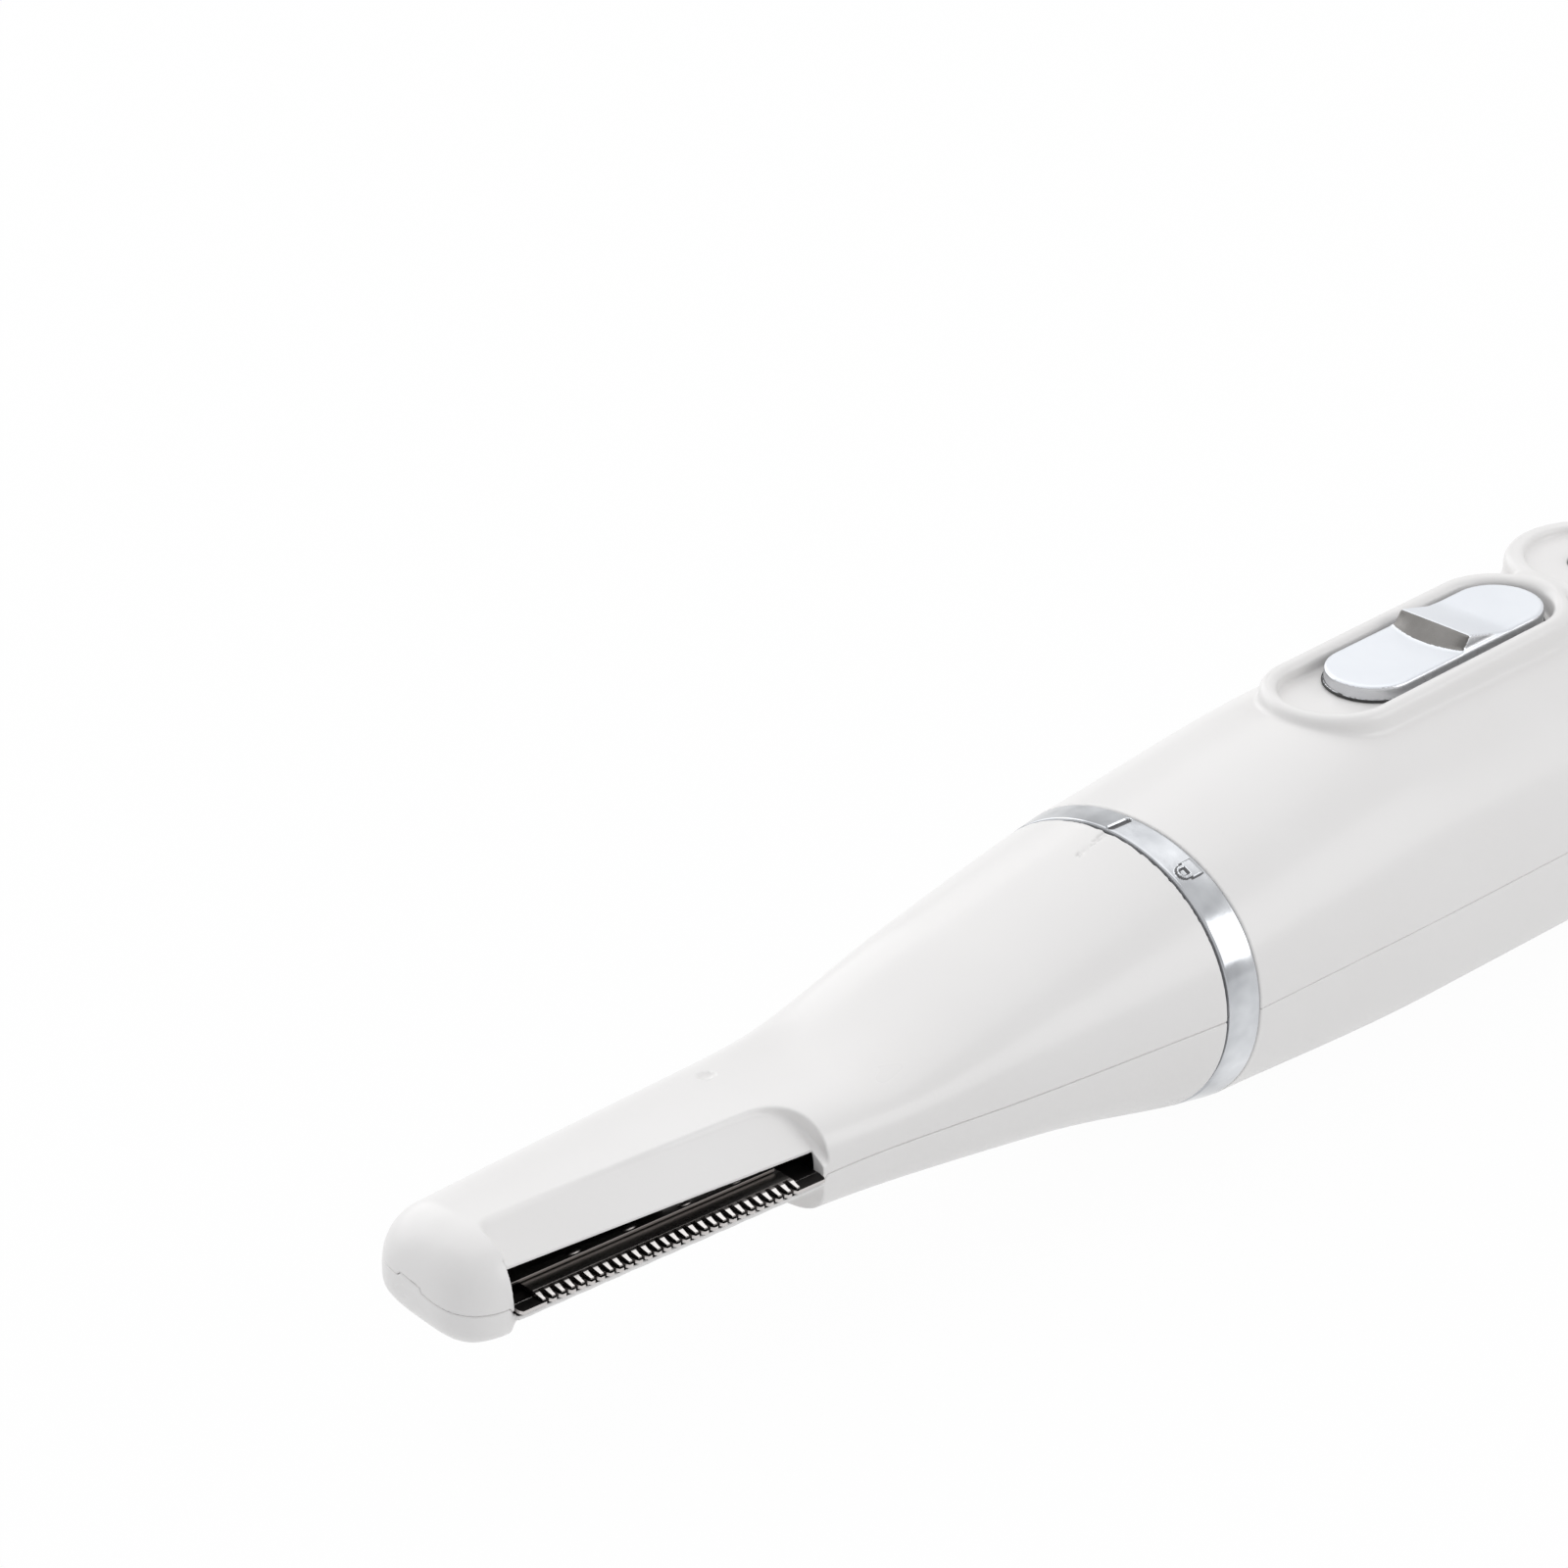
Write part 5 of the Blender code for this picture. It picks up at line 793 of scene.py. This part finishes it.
def make_spring():
    """The strip that holds the blade down, with punched dimples along it, whose tops get a lighter steel as
    a painted highlight.
    """
    def strip(u, v, z):
        low, high = SPRING_HEIGHTS
        outline = np.minimum(rectangle(u, v, SPRING_BAR), rectangle(u, v, SPRING_TAB))
        plate = both(outline, np.maximum(low - z, z - high), 0.06)
        for place in SPRING_DIMPLES:
            bump = np.sqrt(((u - place) / 2.4) ** 2 + (v - 2.62) ** 2 + (z - 1.0) ** 2) - 0.26
            plate = either(plate, both(bump, 0.86 - z), 0.05)
        return plate

    points, faces, normals = surface(
        strip, ticks((0.1, 23.4, 0.1)), ticks((2.15, 3.2, 0.06), (3.2, 7.4, 0.4)), ticks((0.75, 1.35, 0.05)))
    u, v, z = points.T
    points = np.stack((*on_blade_line(u, v), z), 1)
    turned = np.stack((normals[:, 0] * math.cos(LEAN) + normals[:, 1] * math.sin(LEAN),
                       normals[:, 1] * math.cos(LEAN) - normals[:, 0] * math.sin(LEAN), normals[:, 2]), 1)
    # painted highlight: the dimples' tops get the lighter steel
    dimple_highlight = (z[faces].mean(1) > 1.12).astype(int)
    spring = mesh_object("hold_down_spring", points, faces, [SPRING, STEEL_AND_DIMPLE_HIGHLIGHT], turned, dimple_highlight)
    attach(spring, "head")
    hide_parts("blade_spring")


make_spring()


# Switch button

def button_finish(points, normals):
    """Silver on top; as painted shade, darker metal round the sides and near-black metal in the scoop before
    the rib; black at the foot as painted shadow.
    """
    x, _, z = points.T
    chosen = np.zeros(len(points), int)
    # painted shade on the sides
    chosen[normals[:, 2] < 0.55] = 1
    # painted shade in the scoop
    scoop = (normals[:, 0] < -0.3) & (z > button_level(x) + 0.05) & (x > RIB_FOOT - 1.0)
    chosen[scoop] = 2
    # painted shadow: the foot and the plate's lowest band are black
    chosen[z < BUTTON_LOW + 0.14] = 3
    return chosen


def make_button():
    points, faces, normals = surface(
        button, ticks((24.5, 46.8, 0.12)), ticks((-4.0, 4.0, 0.12)),
        ticks((10.9, 12.2, 0.3), (12.2, 12.8, 0.07), (12.8, 16, 0.1)))
    chosen = button_finish(points[faces].mean(1), normals[faces].mean(1))
    finishes = [SATIN, BUTTON_SIDE_PAINTED_SHADE, BUTTON_SCOOP_PAINTED_SHADE, BLACK]
    switch = mesh_object("slide_button", points, faces, finishes, normals, chosen)
    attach(switch, "switch")
    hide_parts("switch_button")


make_button()


# Chrome ring

def ring_radius(turn, along):
    """The ring's radius in a direction from the drive axis, part of the way along it."""
    head_end = HEAD_NEAR_WIDTHS[-1], HEAD_TOPS[-1], HEAD_BOTTOMS[-1], HEAD_SQUARENESS[-1]
    handle_end = HANDLE_HALF_WIDTHS[0], HANDLE_TOPS[0], HANDLE_BOTTOMS[0], HANDLE_SQUARENESS
    c, s = np.abs(np.cos(turn)), np.abs(np.sin(turn))
    radii = []
    for half, top, bottom, power in (head_end, handle_end):
        height = np.where(np.sin(turn) > 0, top, bottom)
        radii.append(1 / ((c / half) ** power + (s / height) ** power) ** (1 / power))
    return radii[0] * (1 - along) + radii[1] * along


def make_ring():
    """The ring as rows of points round it, closer together where the marks are."""
    start, end = RING
    width = end - start
    fine = np.linspace(math.radians(75), math.radians(140), 400)
    rest = np.linspace(math.radians(140), math.radians(435), 500)[1:-1]
    turns = np.concatenate((fine, rest))
    across = np.concatenate(([0.0, 0.03, 0.07, 0.12], np.linspace(0.18, width - 0.18, 30),
                             [width - 0.12, width - 0.07, width - 0.03, width]))
    turn, x = np.meshgrid(turns, across, indexing="ij")
    along = x / width
    radius = ring_radius(turn, along)
    edge = np.minimum(x, width - x)
    radius -= rounding(edge, 0.15)
    degrees = np.degrees(turn)
    arc = (degrees - BAR_ANGLE) * radius * math.pi / 180
    bar = np.hypot(np.maximum(np.abs(x - BAR[0]) - BAR[1], 0), arc) - BAR[2]
    radius -= BAR_DEPTH * np.clip(0.5 - bar / 0.12, 0, 1)
    arc = (degrees - LOCK_ANGLE) * radius * math.pi / 180
    body = np.maximum(np.abs(x - LOCK_BODY[0]) - LOCK_BODY[1], np.abs(arc) - LOCK_BODY[2])
    middle, size, half, last = LOCK_BOW
    bow = np.abs(np.hypot(np.maximum(middle - x, 0), arc) - size) - half
    icon = np.minimum(body, np.maximum(bow, x - last))
    radius += LOCK_HEIGHT * np.clip(0.5 - icon / 0.1, 0, 1)
    outer = np.stack((start + x, radius * np.cos(turn), radius * np.sin(turn)), -1)
    inner = [np.stack((np.full(len(turns), place), RING_BORE * np.cos(turns), RING_BORE * np.sin(turns)), -1)
             for place in (end, start)]
    rows = [outer[:, i] for i in range(len(across))] + inner
    points = np.concatenate(rows)
    count = len(turns)
    i = np.arange(count)
    j = (i + 1) % count
    faces = []
    for k in range(len(rows)):
        a, b = k * count, (k + 1) % len(rows) * count
        faces.append(np.stack((a + i, b + i, b + j, a + j), 1))
    chosen = np.zeros((len(rows), count), int)
    chosen[:len(across)] = ((bar < 0) | (np.abs(icon - 0.04) < 0.06)).T
    ring = mesh_object("chrome_band", points, np.concatenate(faces), [CHROME_PAINTED_REFLECTIONS, MARK],
                       chosen=chosen.ravel())
    ring.data.set_sharp_from_angle(angle=math.radians(50))
    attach(ring, "handle")
    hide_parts("chrome_ring")


make_ring()


# Finish of the CAD pieces that stay

def windings():
    """Enamelled wire, wound in rows."""
    made = vary(material("enamelled_copper", (0.55, 0.2, 0.08), 0.3, 1.0), (0.5, 0.17, 0.06),
                (0.62, 0.25, 0.11), 0.25, 0.4, 600, 0.3, 4000)
    tree = made.node_tree
    shader = tree.nodes["Principled BSDF"]
    place = tree.nodes.new("ShaderNodeTexCoord")
    rows = node(tree, "ShaderNodeTexWave", Scale=1500.0, Distortion=0.6)
    rows.bands_direction = "DIAGONAL"
    tree.links.new(place.outputs["Object"], rows.inputs["Vector"])
    relief = node(tree, "ShaderNodeBump", Strength=0.8, Distance=0.00005)
    tree.links.new(rows.outputs["Fac"], relief.inputs["Height"])
    tree.links.new(relief.outputs["Normal"], shader.inputs["Normal"])
    return made


def plain(name, color, roughness, metallic=0.0, spread=0.08, scale=400, bump=0.3, **inputs):
    """A finish that drifts a little round one colour and one gloss."""
    darker = [c * (1 - spread) for c in color]
    lighter = [min(1, c * (1 + spread)) for c in color]
    return vary(material(name, color, roughness, metallic, **inputs), darker, lighter,
                roughness * 0.85, roughness * 1.2, scale, bump, 4000)


CAN = plain("can_steel_part", (0.60, 0.61, 0.62), 0.28, 1.0)
LAMINATION = plain("lamination_part", (0.30, 0.30, 0.32), 0.45, 1.0)
COPPER = plain("copper_part", (0.72, 0.36, 0.20), 0.3, 1.0)
BRONZE = plain("sintered_bronze_part", (0.42, 0.27, 0.14), 0.5, 1.0)
FERRITE = plain("ferrite_part", (0.07, 0.07, 0.075), 0.6)
CARBON = plain("brush_carbon", (0.06, 0.055, 0.055), 0.5, 0.3)
WRAP = plain("cell_wrap_part", (0.05, 0.22, 0.42), 0.35, 0.0, 0.05, 120)
BOARD = plain("board_green_part", (0.02, 0.17, 0.08), 0.35, 0.0, 0.15, 900)
CHIP = plain("chip_black_part", (0.025, 0.025, 0.028), 0.4)
CERAMIC = plain("capacitor_ceramic", (0.45, 0.33, 0.20), 0.35)
TIN = plain("tin_plate", (0.70, 0.70, 0.68), 0.3, 1.0)
RED = plain("red_lead_part", (0.50, 0.02, 0.02), 0.4)
DARK_LEAD = plain("black_lead_part", (0.02, 0.02, 0.02), 0.4)
LED = plain("led_body", (0.80, 0.82, 0.78), 0.25)
LENS = plain("clear_lens_part", (0.85, 0.88, 0.90), 0.09, 0.0, 0.01, 300, 0.05,
             Transmission_Weight=0.6, IOR=1.49)
WINDING = windings()
FINISHES = {
    "armature_core": LAMINATION, "armature_winding": WINDING, "battery_cell": WRAP, "battery_lead_red": RED,
    "bayonet_sleeve": WHITE, "bayonet_socket": BLACK, "blade_carrier": GREY, "capacitor": CERAMIC,
    "charging_chip": CHIP, "charging_lead_black": DARK_LEAD, "charging_lead_red": RED, "charging_pin": STEEL,
    "charging_socket": BLACK, "circuit_board": BOARD, "comb_screw_neck": ZINC, "comb_screw_tip": ZINC,
    "commutator": COPPER, "drive_lever": GREY, "eccentric_hub": BLACK, "front_bush": BRONZE,
    "front_contact": TIN, "handle_screw_far": ZINC, "handle_screw_near": ZINC, "head_screw_far": ZINC,
    "head_screw_near": ZINC, "indicator_led": LED, "indicator_lens": LENS, "inner_frame": GREY,
    "lever_pivot_pin": STEEL, "motor_brush_far": CARBON, "motor_brush_near": CARBON, "motor_can": CAN,
    "motor_end_cap": BLACK, "motor_lead_black": DARK_LEAD, "motor_lead_red": RED,
    "motor_magnet_far": FERRITE, "motor_magnet_near": FERRITE, "motor_shaft": STEEL,
    "motor_terminal_far": TIN, "motor_terminal_near": TIN, "rear_contact": TIN, "slide_switch_case": CAN,
    "slide_switch_knob": BLACK, "switch_carriage": GREY,
}
for name, finish in FINISHES.items():
    NODES[name].data.materials.clear()
    NODES[name].data.materials.append(finish)


# Stage, lights and camera

def show_white(tree, base, white, output, share=1.0):
    """Camera, glossy and transmission rays meet white, by a share of it; all others meet the base."""
    ray = tree.nodes.new("ShaderNodeLightPath")
    seen = node(tree, "ShaderNodeMath", operation="MAXIMUM")
    any_ray = node(tree, "ShaderNodeMath", operation="MAXIMUM")
    mix = tree.nodes.new("ShaderNodeMixShader")
    tree.links.new(ray.outputs["Is Camera Ray"], seen.inputs[0])
    tree.links.new(ray.outputs["Is Glossy Ray"], seen.inputs[1])
    tree.links.new(seen.outputs[0], any_ray.inputs[0])
    tree.links.new(ray.outputs["Is Transmission Ray"], any_ray.inputs[1])
    amount = any_ray.outputs[0]
    if share < 1:
        part = node(tree, "ShaderNodeMath", operation="MULTIPLY")
        part.inputs[1].default_value = share
        tree.links.new(amount, part.inputs[0])
        amount = part.outputs[0]
    tree.links.new(amount, mix.inputs["Fac"])
    tree.links.new(base, mix.inputs[1])
    tree.links.new(white, mix.inputs[2])
    tree.links.new(mix.outputs["Shader"], output.inputs["Surface"])


def stage():
    """A white floor that keeps a faint contact shadow."""
    size = 3.0
    corners = [(-size, -size, 0), (size, -size, 0), (size, size, 0), (-size, size, 0)]
    mesh = bpy.data.meshes.new("floor")
    mesh.from_pydata(corners, [], [(0, 1, 2, 3)])
    floor = bpy.data.objects.new("floor", mesh)
    floor.location.z = -0.0003
    bpy.context.scene.collection.objects.link(floor)
    finish = material("studio_floor", (0.82, 0.82, 0.82), 0.9)
    tree = finish.node_tree
    light = tree.nodes.new("ShaderNodeEmission")
    light.inputs["Color"].default_value = (1, 1, 1, 1)
    show_white(tree, tree.nodes["Principled BSDF"].outputs["BSDF"], light.outputs["Emission"],
               tree.nodes["Material Output"], 0.97)
    mesh.materials.append(finish)


def world():
    made = bpy.data.worlds.new("studio")
    made.use_nodes = True
    bpy.context.scene.world = made
    tree = made.node_tree
    soft = tree.nodes["Background"]
    soft.inputs["Color"].default_value = (0.97, 0.98, 1.0, 1)
    soft.inputs["Strength"].default_value = 0.63
    white = node(tree, "ShaderNodeBackground", Strength=1.0)
    show_white(tree, soft.outputs["Background"], white.outputs["Background"], tree.nodes["World Output"])


def lamp(name, place, target, size, power):
    light = bpy.data.lights.new(name, "AREA")
    light.shape = "RECTANGLE"
    light.size, light.size_y = size
    light.energy = power
    obj = bpy.data.objects.new(name, light)
    bpy.context.scene.collection.objects.link(obj)
    obj.location = place
    way = target[0] - place[0], target[1] - place[1], target[2] - place[2]
    obj.rotation_mode = "QUATERNION"
    obj.rotation_quaternion = Vector(way).to_track_quat("-Z", "Y")


def camera():
    azimuth, elevation, roll = (math.radians(a) for a in CAMERA_ANGLES)
    distance, across, height = CAMERA_PLACE
    back = np.array((math.sin(azimuth) * math.cos(elevation), -math.cos(azimuth) * math.cos(elevation),
                     math.sin(elevation)))
    right = np.array((math.cos(azimuth), math.sin(azimuth), 0))
    up = np.cross(back, right)
    level = right * math.cos(roll) + up * math.sin(roll)
    upright = up * math.cos(roll) - right * math.sin(roll)
    place = (level * across + upright * height + back * distance + AXIS) / 1000
    data = bpy.data.cameras.new("camera")
    data.lens = 135
    data.sensor_width = 36
    data.clip_start, data.clip_end = 0.01, 20
    obj = bpy.data.objects.new("camera", data)
    bpy.context.scene.collection.objects.link(obj)
    obj.matrix_world = Matrix([[*row, p] for row, p in zip(np.stack((level, upright, back), 1), place)]
                              + [[0, 0, 0, 1]])
    bpy.context.scene.camera = obj


stage()
world()
lamp("overhead", (0.10, 0.34, 0.80), (0, 0, 0.01), (1.2, 1.2), 3.55)
lamp("front", (0.35, -0.60, 0.34), (0.02, 0, 0.01), (0.5, 0.4), 1.15)
lamp("far", (0.0, 0.90, 0.35), (0, 0, 0.01), (1.0, 0.6), 2.2)
camera()
bpy.context.scene.view_settings.view_transform = "Standard"
